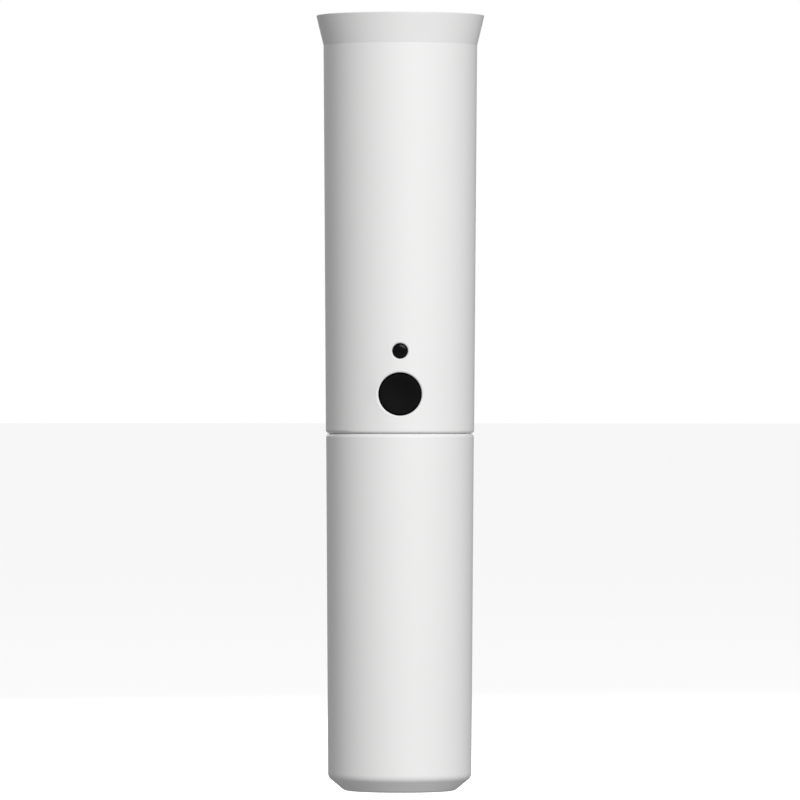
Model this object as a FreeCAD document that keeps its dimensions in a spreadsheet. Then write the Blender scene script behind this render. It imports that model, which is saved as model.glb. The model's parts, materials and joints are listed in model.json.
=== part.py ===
import FreeCAD, Part
import math
import os
import re
import Sketcher

# Handheld wireless microphone transmitter: a flared handle tube over a moulded inner frame, and a
# screw-off battery cup. Millimetres, +Z up the tube, the base's centre at the origin, buttons on -Y.

SIZES = {
    # outer shells
    "total_height": 170.5,
    "rim_radius": 18.5,
    "crease_radius": 16.9,
    "flare_height": 6.6,
    "handle_foot_radius": 16.31,
    "cup_mouth_radius": 16.25,
    "cup_foot_radius": 15.77,
    "chamfer_height": 3.03,
    "chamfer_width": 3.64,
    "chamfer_round": 1.72,
    "seam_height": 78.62,
    "seam_gap": 0.06,
    "handle_foot_round": 0.6,
    "cup_mouth_round": 0.9,
    "rim_wall": 1.2,
    "rim_round": 0.15,
    "handle_bore": 14.95,
    "ledge_radius": 13.9,
    "ledge_thickness": 1.6,
    "bore_flare_drop": 1.4,
    "hole_cut_start": 12.0,
    "hole_cut_end": 20.0,
    # battery cup
    "cup_bore": 14.65,
    "cup_mouth_bore": 15.15,
    "cup_floor": 2.0,
    "cup_inner_chamfer": 2.2,
    "cup_step": 71.2,
    "cup_step_slope": 0.5,
    "pad_thickness": 1.5,
    "pad_clearance": 0.3,
    # screw thread between the cup and the cradle
    "cup_thread_pitch": 1.6,
    "cup_thread_turns": 2,
    "cup_thread_start": 72.3,
    "cup_thread_inner": 14.7,
    "cradle_thread_outer": 14.55,
    "thread_root": 0.9,
    "thread_crest": 0.4,
    "thread_overlap": 0.1,
    "cradle_thread_turns": 1.4,
    # cradle
    "cradle_radius": 14.2,
    "cradle_foot": 3.9,
    "cradle_deck": 5.6,
    "foot_chamfer": 0.6,
    "bay_top": 60.0,
    "panel_bottom": 61.6,
    "panel_top": 71.6,
    "shoulder_height": 76.0,
    "collar_radius": 14.6,
    "collar_top": 81.5,
    "collar_bore": 12.4,
    "roof_thickness": 1.0,
    "spine_front": 5.0,
    "cut_margin": 1.0,
    "panel_face": 10.2,
    "panel_wall": 1.2,
    "seal_groove_bottom": 76.7,
    "seal_groove_width": 1.0,
    "seal_groove_radius": 14.1,
    "seal_section": 0.42,
    "seal_radius": 14.57,
    # cells and their contacts
    "cell_radius": 7.1,
    "cell_offset": 7.2,
    "cell_pocket": 7.35,
    "cell_can_length": 49.2,
    "cell_cap_length": 1.0,
    "cell_cap_radius": 2.75,
    "cell_edge": 0.5,
    "contact_sheet": 0.4,
    "contact_width": 7.0,
    "contact_tab_y": 6.0,
    "contact_tab_width": 2.4,
    "contact_tab_top": 63.0,
    "tab_clearance": 0.2,
    "wire_radius": 0.6,
    "wire_rise": 8.0,
    "wire_gap": 0.02,
    "wire_exit": 5.5,
    "wire_end_low": 1.0,
    "wire_end_high": 11.0,
    "spring_wire": 0.35,
    "spring_foot_radius": 3.4,
    "spring_tip_radius": 2.27,
    "spring_pitch": 1.3,
    "spring_taper": 24,
    # antenna and label on the cradle's back
    "antenna_slot_width": 4.4,
    "antenna_slot_depth": 0.7,
    "antenna_slot_low": 2.0,
    "antenna_slot_high": 1.5,
    "antenna_width": 4.0,
    "antenna_thickness": 0.35,
    "antenna_gap": 0.02,
    "antenna_end_gap": 0.3,
    "label_gap": 0.02,
    "label_thickness": 0.12,
    "label_margin": 0.8,
    "label_turn": 70,
    # control panel under the cup
    "panel_centre": 67.0,
    "window_width": 7.2,
    "window_height": 6.8,
    "window_thickness": 1.0,
    "window_clearance": 0.1,
    "display_clearance": 0.2,
    "panel_button_x": 6.4,
    "panel_button_radius": 1.75,
    "panel_button_proud": 0.6,
    "panel_button_flange": 2.15,
    "panel_button_flange_depth": 0.6,
    "panel_button_edge": 0.25,
    "button_clearance": 0.2,
    "panel_switch_width": 3.6,
    "panel_switch_height": 1.2,
    "control_board_back": 5.6,
    "control_board_thickness": 1.0,
    "control_board_width": 18.8,
    "control_board_margin": 0.6,
    "board_thickness": 1.2,
    # power button and status light
    "power_height": 87.2,
    "power_hole_radius": 4.72,
    "power_button_radius": 4.5,
    "power_face": 15.6,
    "power_edge_depth": 0.4,
    "power_edge_width": 0.35,
    "power_lip": 0.7,
    "power_dish": 0.34,
    "power_dish_flat": 1.8,
    "power_dish_slope": 0.3,
    "power_flange_radius": 5.3,
    "power_flange_face": 13.6,
    "power_flange_depth": 1.0,
    "power_hub_radius": 2.4,
    "power_hub_back": 11.5,
    "power_stem_radius": 1.7,
    "power_stem_back": 8.9,
    "power_switch_width": 6.2,
    "power_switch_face": 9.6,
    "power_switch_cover": 1.4,
    "stem_clearance": 0.15,
    "light_height": 96.6,
    "light_hole_radius": 1.7,
    "light_pipe_radius": 1.55,
    "light_face": 16.2,
    "light_back": 7.4,
    "light_step": 0.2,
    "light_collar": 0.8,
    "light_collar_back": 13.1,
    "light_collar_front": 13.9,
    "light_edge_width": 0.35,
    "light_edge_depth": 0.25,
    "light_crown": 0.08,
    "led_width": 1.6,
    "led_height": 1.2,
    "led_depth": 0.7,
    "hole_round": 0.35,
    # boards in the handle
    "carrier_radius": 14.4,
    "carrier_bore": 12.8,
    "carrier_top": 156.0,
    "carrier_ring_bottom": 150.0,
    "spigot_radius": 12.3,
    "spigot_bore": 10.9,
    "spigot_bottom": 78.0,
    "carrier_floor": 1.4,
    "board_back": 4.8,
    "board_bottom": 82.5,
    "board_top": 149.5,
    "board_half_width": 12.7,
    "board_screw_x": 10.4,
    "board_screw_low": 93.0,
    "board_screw_high": 146.0,
    "screw_shank": 0.95,
    "screw_head": 1.75,
    "screw_head_height": 1.2,
    "boss_radius": 1.8,
    "boss_length": 2.4,
    "screw_hole_depth": 1.0,
    "screw_bore_clearance": 0.05,
    "board_hole_clearance": 0.15,
    "board_screw_length": 6.0,
    "neck_screw_shank": 0.75,
    "neck_screw_head": 1.4,
    "neck_screw_head_height": 0.45,
    "neck_screw_length": 2.4,
    "skirt_hole": 0.8,
    "carrier_hole": 0.85,
    "rib_pitch": 15.0,
    "rib_start": 102.0,
    "rib_thickness": 1.2,
    "rib_depth": 5.0,
    "rib_overlap": 0.5,
    "shield_height": 132.0,
    "shield_width": 17.0,
    "shield_length": 20.0,
    "shield_depth": 3.2,
    "shield_sheet": 0.3,
    "chip_across": 2.0,
    "chip_height": 110.0,
    "chip_width": 7.0,
    "chip_thickness": 1.1,
    "component_row": 104.0,
    "capacitor_start": 9.5,
    "capacitor_length": 1.6,
    "capacitor_side": 0.9,
    "capacitor_pitch_x": 2.6,
    "capacitor_pitch_z": 3.2,
    "inductor_across": 9.0,
    "inductor_side": 4.0,
    "inductor_depth": 2.4,
    "inductor_pitch": 6.0,
    "regulator_start": 6.0,
    "regulator_row": 97.5,
    "regulator_side": 4.0,
    "regulator_depth": 1.0,
    "regulator_pitch": 12.0,
    "crystal_across": 8.0,
    "crystal_row": 118.2,
    "crystal_length": 3.2,
    "crystal_side": 1.8,
    "crystal_depth": 0.8,
    "ribbon_thickness": 0.2,
    "control_ribbon_width": 7.0,
    "head_ribbon_width": 6.0,
    "head_ribbon_depth": 2.5,
    # neck for the microphone head
    "neck_pilot_radius": 12.9,
    "neck_root_radius": 13.1,
    "neck_crest_radius": 13.6,
    "neck_bore": 11.6,
    "neck_top": 169.2,
    "neck_pilot_bottom": 166.0,
    "neck_thread_pitch": 1.5,
    "neck_thread_start": 160.6,
    "neck_thread_length": 4.5,
    "flange_top": 158.0,
    "skirt_radius": 12.7,
    "skirt_bore": 11.2,
    "skirt_bottom": 150.5,
    "head_board_seat": 158.2,
    "head_board_radius": 11.4,
    "seat_bore": 10.2,
    "neck_screw_height": 153.5,
    "neck_edge": 0.4,
    "skirt_corner": 0.6,
    "ring_height": 2.4,
    "ring_clearance": 0.2,
    "ring_thread_clearance": 0.08,
    "ring_slot_depth": 1.0,
    "ring_slot_width": 1.6,
    # contacts and gain switch on the round board
    "block_height": 4.0,
    "block_length": 11.0,
    "block_width": 5.0,
    "block_centre_y": -1.0,
    "block_roof": 1.1,
    "block_edge": 0.3,
    "pin_pitch": 3.6,
    "pin_radius": 0.5,
    "pin_hole_radius": 0.62,
    "pin_flange_radius": 0.75,
    "pin_flange_height": 0.7,
    "pin_well_radius": 0.9,
    "pin_tip": 165.0,
    "pin_tip_height": 0.35,
    "pin_tip_crown": 0.08,
    "pin_tip_radius": 0.3,
    "pin_spring_radius": 0.55,
    "pin_spring_wire": 0.13,
    "pin_spring_turns": 3,
    "pin_spring_gap": 0.02,
    "gain_centre_y": 6.2,
    "gain_length": 7.6,
    "gain_width": 3.4,
    "gain_height": 3.0,
    "gain_travel": 2.0,
    "gain_knob_length": 1.6,
    "gain_knob_width": 0.9,
    "gain_knob_rise": 1.6,
    "gain_clearance": 0.1,
}

doc = FreeCAD.newDocument("wireless_handle")
sheet = doc.addObject("Spreadsheet::Sheet", "Sizes")
for row, (alias, size) in enumerate(SIZES.items(), start=1):
    sheet.set(f"A{row}", alias)
    sheet.set(f"B{row}", str(size))
    sheet.setAlias(f"B{row}", alias)
doc.recompute()


# ---------------------------------------------------------------- formulas and sketches

def formula(text):
    """A formula in size names, written the way the document's expressions read it."""
    return re.sub(r"[a-z_]+", lambda word: f"Sizes.{word[0]}" if word[0] in SIZES else word[0], str(text))


def number(text):
    return float(sheet.evalExpression(formula(text)))


def bind(thing, **properties):
    """Bind each property to a formula; a double underscore stands for a dot in the property's path."""
    for name, text in properties.items():
        thing.setExpression(name.replace("__", "."), formula(text))


def new_body(label):
    body = doc.addObject("PartDesign::Body", label)
    body.Label = label
    return body


def new_sketch(body, plane, offset="0"):
    """A sketch on one of the body's own planes, shifted along the plane's normal (-Y on XZ_Plane)."""
    sketch = body.newObject("Sketcher::SketchObject", "outline")
    flat = next(part for part in body.Origin.OriginFeatures if part.Role == plane)
    sketch.AttachmentSupport = (flat, [""])
    sketch.MapMode = "FlatFace"
    bind(sketch, AttachmentOffset__Base__z=offset)
    return sketch


def pin_point(sketch, edge, end, x, y):
    """Fix a point of the sketch by its distances from the sketch's origin."""
    for direction, axis, text in (("DistanceX", -2, x), ("DistanceY", -1, y)):
        size = number(text)
        if abs(size) < 1e-9:
            sketch.addConstraint(Sketcher.Constraint("PointOnObject", edge, end, axis))
        else:
            rule = sketch.addConstraint(Sketcher.Constraint(direction, -1, 1, edge, end, size))
            sketch.setExpression(f"Constraints[{rule}]", formula(text))


def polygon(*corners):
    def draw(sketch):
        first = sketch.GeometryCount
        points = [FreeCAD.Vector(number(x), number(y), 0) for x, y in corners]
        count = len(points)
        for side in range(count):
            sketch.addGeometry(Part.LineSegment(points[side], points[(side + 1) % count]))
        for side in range(count):
            following = first + (side + 1) % count
            sketch.addConstraint(Sketcher.Constraint("Coincident", first + side, 2, following, 1))
        for side, (x, y) in enumerate(corners):
            pin_point(sketch, first + side, 1, x, y)
    return draw


def rectangle(left, low, right, high):
    return polygon((left, low), (right, low), (right, high), (left, high))


def disc(radius, x="0", y="0"):
    def draw(sketch):
        centre = FreeCAD.Vector(number(x), number(y), 0)
        circle = sketch.addGeometry(Part.Circle(centre, FreeCAD.Vector(0, 0, 1), number(radius)))
        rule = sketch.addConstraint(Sketcher.Constraint("Radius", circle, number(radius)))
        sketch.setExpression(f"Constraints[{rule}]", formula(radius))
        if abs(number(x)) < 1e-9 and abs(number(y)) < 1e-9:
            sketch.addConstraint(Sketcher.Constraint("Coincident", circle, 3, -1, 1))
        else:
            pin_point(sketch, circle, 3, x, y)
    return draw


def cut_disc(radius, chord):
    """The part of a disc about the origin that lies above a chord parallel to the sketch's first axis."""
    def draw(sketch):
        size, level = number(radius), number(chord)
        start = math.asin(level / size)
        circle = Part.Circle(FreeCAD.Vector(0, 0, 0), FreeCAD.Vector(0, 0, 1), size)
        arc = sketch.addGeometry(Part.ArcOfCircle(circle, start, math.pi - start))
        half = math.sqrt(size ** 2 - level ** 2)
        left, right = FreeCAD.Vector(-half, level, 0), FreeCAD.Vector(half, level, 0)
        line = sketch.addGeometry(Part.LineSegment(left, right))
        sketch.addConstraint(Sketcher.Constraint("Coincident", arc, 3, -1, 1))
        sketch.addConstraint(Sketcher.Constraint("Coincident", arc, 1, line, 2))
        sketch.addConstraint(Sketcher.Constraint("Coincident", arc, 2, line, 1))
        sketch.addConstraint(Sketcher.Constraint("Horizontal", line))
        rule = sketch.addConstraint(Sketcher.Constraint("Radius", arc, size))
        sketch.setExpression(f"Constraints[{rule}]", formula(radius))
        rule = sketch.addConstraint(Sketcher.Constraint("DistanceY", -1, 1, line, 1, level))
        sketch.setExpression(f"Constraints[{rule}]", formula(chord))
    return draw


# ---------------------------------------------------------------- features of a body

def finish_feature(body, feature, before, grows):
    """Recompute, and stop unless the feature changed the body's volume the way it should."""
    doc.recompute()
    change = body.Shape.Volume - before
    if (change <= 0) if grows else (change >= 0):
        raise ValueError(f"{body.Label}: {feature.Name} changed the volume by {change:.3f}")
    return feature


def volume(body):
    return 0.0 if body.Shape.isNull() else body.Shape.Volume


def pad(body, plane, low, high, *shapes):
    """Add the shapes between two levels along the plane's normal."""
    before = volume(body)
    sketch = new_sketch(body, plane, low)
    for draw in shapes:
        draw(sketch)
    feature = body.newObject("PartDesign::Pad", "pad")
    feature.Profile = sketch
    bind(feature, Length=f"({high}) - ({low})")
    return finish_feature(body, feature, before, grows=True)


def pocket(body, plane, low, high, *shapes):
    """Remove the shapes between two levels along the plane's normal."""
    before = volume(body)
    sketch = new_sketch(body, plane, low)
    for draw in shapes:
        draw(sketch)
    feature = body.newObject("PartDesign::Pocket", "pocket")
    feature.Profile = sketch
    feature.Reversed = True
    bind(feature, Length=f"({high}) - ({low})")
    return finish_feature(body, feature, before, grows=False)


def revolve(body, *shapes, kind="Revolution", plane="XZ_Plane", angle="360"):
    """Turn the shapes about the sketch's vertical axis."""
    before = volume(body)
    sketch = new_sketch(body, plane)
    for draw in shapes:
        draw(sketch)
    feature = body.newObject(f"PartDesign::{kind}", kind.lower())
    feature.Profile = sketch
    feature.ReferenceAxis = (sketch, ["V_Axis"])
    bind(feature, Angle=angle)
    return finish_feature(body, feature, before, grows=kind == "Revolution")


def thread(body, root, crest, start, length, pitch):
    """A helical ridge from a root radius to a crest radius; the root sits a little inside the wall."""
    before = volume(body)
    sketch = new_sketch(body, "XZ_Plane")
    polygon((root, f"{start} - thread_root / 2"), (crest, f"{start} - thread_crest / 2"),
            (crest, f"{start} + thread_crest / 2"), (root, f"{start} + thread_root / 2"))(sketch)
    feature = body.newObject("PartDesign::AdditiveHelix", "thread")
    feature.Profile = sketch
    feature.ReferenceAxis = (sketch, ["V_Axis"])
    feature.Mode = 0
    bind(feature, Pitch=pitch, Height=length)
    return finish_feature(body, feature, before, grows=True)


def dress(body, kind, size, wanted):
    """Fillet or chamfer the edges of the body's tip that pass the test."""
    before = volume(body)
    base = body.Tip
    names = [f"Edge{place}" for place, edge in enumerate(base.Shape.Edges, start=1) if wanted(edge)]
    feature = body.newObject(f"PartDesign::{kind}", kind.lower())
    feature.Base = (base, names)
    bind(feature, **{"Radius" if kind == "Fillet" else "Size": size})
    doc.recompute()
    if not names or abs(body.Shape.Volume - before) < 1e-6:
        raise ValueError(f"{body.Label}: {kind} changed nothing")
    return feature


def ring_at(radius, height):
    """Picks the circular edges about the Z axis at a radius and height."""
    def wanted(edge):
        box = edge.BoundBox
        level = abs(box.ZMin - number(height)) < 0.02 and abs(box.ZMax - number(height)) < 0.02
        return level and abs(box.XMax - number(radius)) < 0.02
    return wanted


# ---------------------------------------------------------------- simple solids

def block(label, low, high):
    box = doc.addObject("Part::Box", label)
    box.Label = label
    for side, corner, far in zip(("Length", "Width", "Height"), low, high):
        bind(box, **{side: f"({far}) - ({corner})"})
    for axis, corner in zip("xyz", low):
        bind(box, **{f"Placement__Base__{axis}": corner})
    return box


TURNS = {"z": FreeCAD.Rotation(), "y": FreeCAD.Rotation(FreeCAD.Vector(1, 0, 0), 90),
         "x": FreeCAD.Rotation(FreeCAD.Vector(0, 1, 0), 90)}


def rod(label, radius, start, length, axis="z"):
    """A cylinder from its start point along +Z, +X, or towards the front (-Y) for axis y."""
    cylinder = doc.addObject("Part::Cylinder", label)
    cylinder.Label = label
    cylinder.Placement = FreeCAD.Placement(FreeCAD.Vector(), TURNS[axis])
    bind(cylinder, Radius=radius, Height=length)
    for name, text in zip("xyz", start):
        bind(cylinder, **{f"Placement__Base__{name}": text})
    return cylinder


def join(label, *pieces):
    fused = doc.addObject("Part::MultiFuse", label)
    fused.Label = label
    fused.Shapes = list(pieces)
    return fused


def subtract(label, base, tool):
    cut = doc.addObject("Part::Cut", label)
    cut.Label = label
    cut.Base = base
    cut.Tool = tool
    return cut


def gather(label, pieces):
    """Separate solids of one kind, kept together in one node."""
    group = doc.addObject("Part::Compound", label)
    group.Label = label
    group.Links = pieces
    return group


def coil(label, radius, wire, pitch, length, start, taper="0"):
    """A helical spring, straight or conical, standing on its start point."""
    path = doc.addObject("Part::Helix", f"{label}_path")
    bind(path, Radius=radius, Pitch=pitch, Height=length, Angle=taper)
    section = doc.addObject("Part::Circle", f"{label}_section")
    section.Placement = FreeCAD.Placement(FreeCAD.Vector(), FreeCAD.Rotation(FreeCAD.Vector(1, 0, 0), 90))
    bind(section, Radius=wire, Placement__Base__x=radius)
    spring = doc.addObject("Part::Sweep", label)
    spring.Label = label
    spring.Sections = [section]
    spring.Spine = (path, ["Edge1"])
    spring.Solid = True
    spring.Frenet = True
    for name, text in zip("xyz", start):
        bind(spring, **{f"Placement__Base__{name}": text})
    return spring


# ---------------------------------------------------------------- outer shells

def handle_tube():
    body = new_body("handle_tube")
    foot = "seam_height + seam_gap / 2"
    crease = "total_height - flare_height"
    ledge_top = "flange_top + ledge_thickness"
    revolve(body, polygon(
        ("handle_bore", foot), ("handle_foot_radius", foot), ("crease_radius", crease),
        ("rim_radius", "total_height"), ("rim_radius - rim_wall", "total_height"),
        ("handle_bore", f"{crease} - bore_flare_drop"), ("handle_bore", ledge_top),
        ("ledge_radius", ledge_top),
        ("ledge_radius", "flange_top"), ("handle_bore", "flange_top")))
    pocket(body, "XZ_Plane", "hole_cut_start", "hole_cut_end",
           disc("power_hole_radius", "0", "power_height"), disc("light_hole_radius", "0", "light_height"))

    def hole_rim(edge):
        box = edge.BoundBox
        centred = any(abs(box.Center.z - number(level)) < 0.1 for level in ("power_height", "light_height"))
        outside = box.YMin < -number("handle_foot_radius") + 0.05
        return centred and outside and box.XLength < number("3 * power_hole_radius")
    dress(body, "Fillet", "hole_round", hole_rim)
    dress(body, "Fillet", "handle_foot_round", ring_at("handle_foot_radius", foot))
    dress(body, "Fillet", "rim_round", ring_at("rim_radius", "total_height"))
    return body


def battery_cup():
    body = new_body("battery_cup")
    mouth = "seam_height - seam_gap / 2"
    corner = "cup_foot_radius - chamfer_width"
    revolve(body, polygon(
        ("0", "0"), (corner, "0"), ("cup_foot_radius", "chamfer_height"), ("cup_mouth_radius", mouth),
        ("cup_mouth_bore", mouth), ("cup_mouth_bore", "cup_step"),
        ("cup_bore", "cup_step - cup_step_slope"), ("cup_bore", "cup_floor + cup_inner_chamfer"),
        ("cup_bore - cup_inner_chamfer", "cup_floor"),
        ("0", "cup_floor")))
    dress(body, "Fillet", "chamfer_round", ring_at(corner, "0"))
    dress(body, "Fillet", "chamfer_round", ring_at("cup_foot_radius", "chamfer_height"))
    dress(body, "Fillet", "cup_mouth_round", ring_at("cup_mouth_radius", mouth))
    thread(body, "cup_mouth_bore + thread_overlap", "cup_thread_inner", "cup_thread_start",
           "cup_thread_pitch * cup_thread_turns", "cup_thread_pitch")
    return body


def cup_foam_pad():
    return rod("cup_foam_pad", "cup_bore - cup_inner_chamfer - pad_clearance", ("0", "0", "cup_floor"),
               "pad_thickness")


def seal_ring():
    ring = doc.addObject("Part::Torus", "seal_ring")
    ring.Label = "seal_ring"
    bind(ring, Radius1="seal_radius", Radius2="seal_section",
         Placement__Base__z="seal_groove_bottom + seal_groove_width / 2")
    return ring


# ---------------------------------------------------------------- cradle and cells

def battery_cradle():
    body = new_body("battery_cradle")
    pad(body, "XY_Plane", "cradle_foot", "cradle_deck", disc("cradle_radius"))
    pad(body, "XY_Plane", "cradle_deck", "bay_top", cut_disc("cradle_radius", "spine_front"))
    pad(body, "XY_Plane", "bay_top", "panel_bottom", disc("cradle_radius"))
    pad(body, "XY_Plane", "panel_bottom", "panel_top", cut_disc("cradle_radius", "-panel_face"))
    pad(body, "XY_Plane", "panel_top", "shoulder_height", disc("cradle_radius"))
    pad(body, "XY_Plane", "shoulder_height", "collar_top", disc("collar_radius"))
    roof = "panel_top + roof_thickness"
    pocket(body, "XY_Plane", "panel_bottom", roof, cut_disc("collar_bore", "-(panel_face - panel_wall)"))
    pocket(body, "XY_Plane", roof, "collar_top", disc("collar_bore"))
    pocket(body, "XY_Plane", "cradle_deck", "bay_top", disc("cell_pocket", "-cell_offset"),
           disc("cell_pocket", "cell_offset"))
    slot = "contact_tab_width / 2 + tab_clearance"
    pocket(body, "XY_Plane", "bay_top", "panel_bottom", *[
        rectangle(f"{side} * cell_offset - ({slot})", "contact_tab_y - tab_clearance / 2",
                  f"{side} * cell_offset + {slot}", "contact_tab_y + contact_sheet + tab_clearance / 2")
        for side in (-1, 1)])
    hole = "panel_button_radius + button_clearance"
    across, along = "window_width / 2 + window_clearance", "window_height / 2 + window_clearance"
    pocket(body, "XZ_Plane", "panel_face - panel_wall - window_clearance", "panel_face + cut_margin",
           rectangle(f"-({across})", f"panel_centre - ({along})", across, f"panel_centre + {along}"),
           disc(hole, "-panel_button_x", "panel_centre"), disc(hole, "panel_button_x", "panel_centre"))
    pocket(body, "XZ_Plane", "-cradle_radius - cut_margin", "-cradle_radius + antenna_slot_depth",
           rectangle("-antenna_slot_width / 2", "cradle_deck + antenna_slot_low",
                     "antenna_slot_width / 2", "bay_top - antenna_slot_high"))
    revolve(body, rectangle("seal_groove_radius", "seal_groove_bottom", "collar_radius + cut_margin",
                            "seal_groove_bottom + seal_groove_width"), kind="Groove")
    thread(body, "cradle_radius - thread_overlap", "cradle_thread_outer",
           "cup_thread_start + cup_thread_pitch / 2", "cup_thread_pitch * cradle_thread_turns",
           "cup_thread_pitch")
    dress(body, "Chamfer", "foot_chamfer", ring_at("cradle_radius", "cradle_foot"))
    return body


def cell(label, side, foot, cap_up):
    """An AA cell: a can with a rounded-off end and a small cap."""
    body = new_body(label)
    top = f"{foot} + cell_can_length"
    edge = "cell_radius - cell_edge"
    can = [(edge, foot), ("cell_radius", f"{foot} + cell_edge"), ("cell_radius", f"{top} - cell_edge"),
           (edge, top)]
    if cap_up:
        cap = f"{top} + cell_cap_length"
        profile = [("0", foot), *can, ("cell_cap_radius", top), ("cell_cap_radius", cap), ("0", cap)]
    else:
        cap = f"{foot} - cell_cap_length"
        profile = [("0", cap), ("cell_cap_radius", cap), ("cell_cap_radius", foot), *can, ("0", top)]
    revolve(body, polygon(*profile))
    bind(body, Placement__Base__x=f"{side} * cell_offset")
    return body


def bridge_contact():
    """The plate on the cradle's deck that joins the two cells in series."""
    return block("bridge_contact", ("-cell_offset - contact_width / 2", "-contact_width / 2", "cradle_deck"),
                 ("cell_offset + contact_width / 2", "contact_width / 2", "cradle_deck + contact_sheet"))


def top_contact(label, side):
    """A plate under the bay's top, with a tab that passes up through it."""
    centre, underside = f"{side} * cell_offset", "bay_top - contact_sheet"
    back = "contact_tab_y + contact_sheet"
    plate = block(f"{label}_plate", (f"{centre} - contact_width / 2", "-contact_width / 2", underside),
                  (f"{centre} + contact_width / 2", back, "bay_top"))
    tab = block(f"{label}_tab", (f"{centre} - contact_tab_width / 2", "contact_tab_y", underside),
                (f"{centre} + contact_tab_width / 2", back, "contact_tab_top"))
    return join(label, plate, tab)


def routed_wire(label, radius, route):
    """A round wire along straight runs joined by arcs, each as large as its two runs allow."""
    points = [FreeCAD.Vector(*[number(text) for text in point]) for point in route]
    edges = []
    start = points[0]
    for before, corner, after in zip(points, points[1:], points[2:]):
        arriving = (corner - before).normalize()
        leaving = (after - corner).normalize()
        trim = 0.45 * min((corner - before).Length, (after - corner).Length)
        half_turn = arriving.getAngle(leaving) / 2
        entry = corner - arriving * trim
        leave = corner + leaving * trim
        inward = (leaving - arriving).normalize()
        bend = trim * (1 / math.cos(half_turn) - 1) / math.tan(half_turn)
        middle = corner + inward * bend
        edges.append(Part.LineSegment(start, entry).toShape())
        edges.append(Part.Arc(entry, middle, leave).toShape())
        start = leave
    edges.append(Part.LineSegment(start, points[-1]).toShape())
    path = Part.Wire(edges)
    first = (points[1] - points[0]).normalize()
    section = Part.Wire(Part.Circle(points[0], first, number(radius)).toShape())
    wire = doc.addObject("Part::Feature", label)
    wire.Label = label
    wire.Shape = path.makePipeShell([section], True, True)
    return wire


def power_wire(label, side):
    """From a contact's tab, through the collar, to the back of the main board."""
    back = "-board_back + wire_radius + wire_gap"
    tab = "contact_tab_y + contact_sheet / 2"
    return routed_wire(label, "wire_radius", [
        (f"{side} * cell_offset", tab, "contact_tab_top"),
        (f"{side} * cell_offset", tab, "contact_tab_top + wire_rise"),
        (f"{side} * wire_exit", back, "board_bottom + wire_end_low"),
        (f"{side} * wire_exit", back, "board_bottom + wire_end_high")])


def antenna_strip():
    """A metal strip lying in the slot down the cradle's back."""
    inner = "cradle_radius - antenna_slot_depth + antenna_gap"
    return block("antenna_strip",
                 ("-antenna_width / 2", inner, "cradle_deck + antenna_slot_low + antenna_end_gap"),
                 ("antenna_width / 2", f"{inner} + antenna_thickness",
                  "bay_top - antenna_slot_high - antenna_end_gap"))


def rating_label():
    """A blank label that wraps part of the cradle's back, behind the control panel."""
    body = new_body("rating_label")
    inner = "cradle_radius + label_gap"
    revolve(body, rectangle(inner, "panel_bottom + label_margin", f"{inner} + label_thickness",
                            "panel_top - label_margin"), angle="label_turn")
    turned = FreeCAD.Rotation(FreeCAD.Vector(0, 0, 1), 90 - number("label_turn") / 2)
    body.Placement = FreeCAD.Placement(FreeCAD.Vector(), turned)
    return body


# ---------------------------------------------------------------- control panel under the cup

CONTROL_BOARD_FRONT = "-control_board_back - control_board_thickness"


def control_board():
    return block("control_board",
                 ("-control_board_width / 2", CONTROL_BOARD_FRONT, "panel_bottom + control_board_margin"),
                 ("control_board_width / 2", "-control_board_back", "panel_top - control_board_margin"))


def display_module():
    across = "window_width / 2 - display_clearance"
    along = "window_height / 2 - display_clearance / 2"
    return block("display_module",
                 (f"-({across})", "-panel_face + window_thickness + display_clearance",
                  f"panel_centre - ({along})"),
                 (across, CONTROL_BOARD_FRONT, f"panel_centre + {along}"))


def display_window():
    return block("display_window", ("-window_width / 2", "-panel_face", "panel_centre - window_height / 2"),
                 ("window_width / 2", "-panel_face + window_thickness", "panel_centre + window_height / 2"))


def front_button(label, profile, x, height):
    """A round part turned about its own axis, then laid down to face the front."""
    body = new_body(label)
    revolve(body, polygon(*profile))
    body.Placement = FreeCAD.Placement(FreeCAD.Vector(), FreeCAD.Rotation(FreeCAD.Vector(1, 0, 0), 90))
    bind(body, Placement__Base__x=x, Placement__Base__z=height)
    return body


def panel_button(label, side):
    face = "panel_face + panel_button_proud"
    flange = "panel_face - panel_wall - button_clearance"
    back = f"{flange} - panel_button_flange_depth"
    return front_button(label, [
        ("0", back), ("panel_button_flange", back), ("panel_button_flange", flange),
        ("panel_button_radius", flange), ("panel_button_radius", f"{face} - panel_button_edge"),
        ("panel_button_radius - panel_button_edge", face), ("0", face)],
        f"{side} * panel_button_x", "panel_centre")


def panel_switch(label, side):
    centre, half = f"{side} * panel_button_x", "panel_switch_width / 2"
    return block(label,
                 (f"{centre} - {half}", f"{CONTROL_BOARD_FRONT} - panel_switch_height",
                  f"panel_centre - {half}"),
                 (f"{centre} + {half}", CONTROL_BOARD_FRONT, f"panel_centre + {half}"))


# ---------------------------------------------------------------- power button and status light

BOARD_FRONT = "-board_back - board_thickness"


def power_button():
    """A dished cap with a flange behind the tube's wall and a hub that presses the switch."""
    flange_back = "power_flange_face - power_flange_depth"
    return front_button("power_button", [
        ("0", "power_hub_back"), ("power_hub_radius", "power_hub_back"), ("power_hub_radius", flange_back),
        ("power_flange_radius", flange_back), ("power_flange_radius", "power_flange_face"),
        ("power_button_radius", "power_flange_face"),
        ("power_button_radius", "power_face - power_edge_depth"),
        ("power_button_radius - power_edge_width", "power_face"),
        ("power_button_radius - power_lip", "power_face"),
        ("power_dish_flat", "power_face - power_dish_slope"), ("0", "power_face - power_dish")],
        "0", "power_height")


def power_switch_stem():
    return rod("power_switch_stem", "power_stem_radius", ("0", "-power_stem_back", "power_height"),
               "power_hub_back - power_stem_back", "y")


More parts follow.
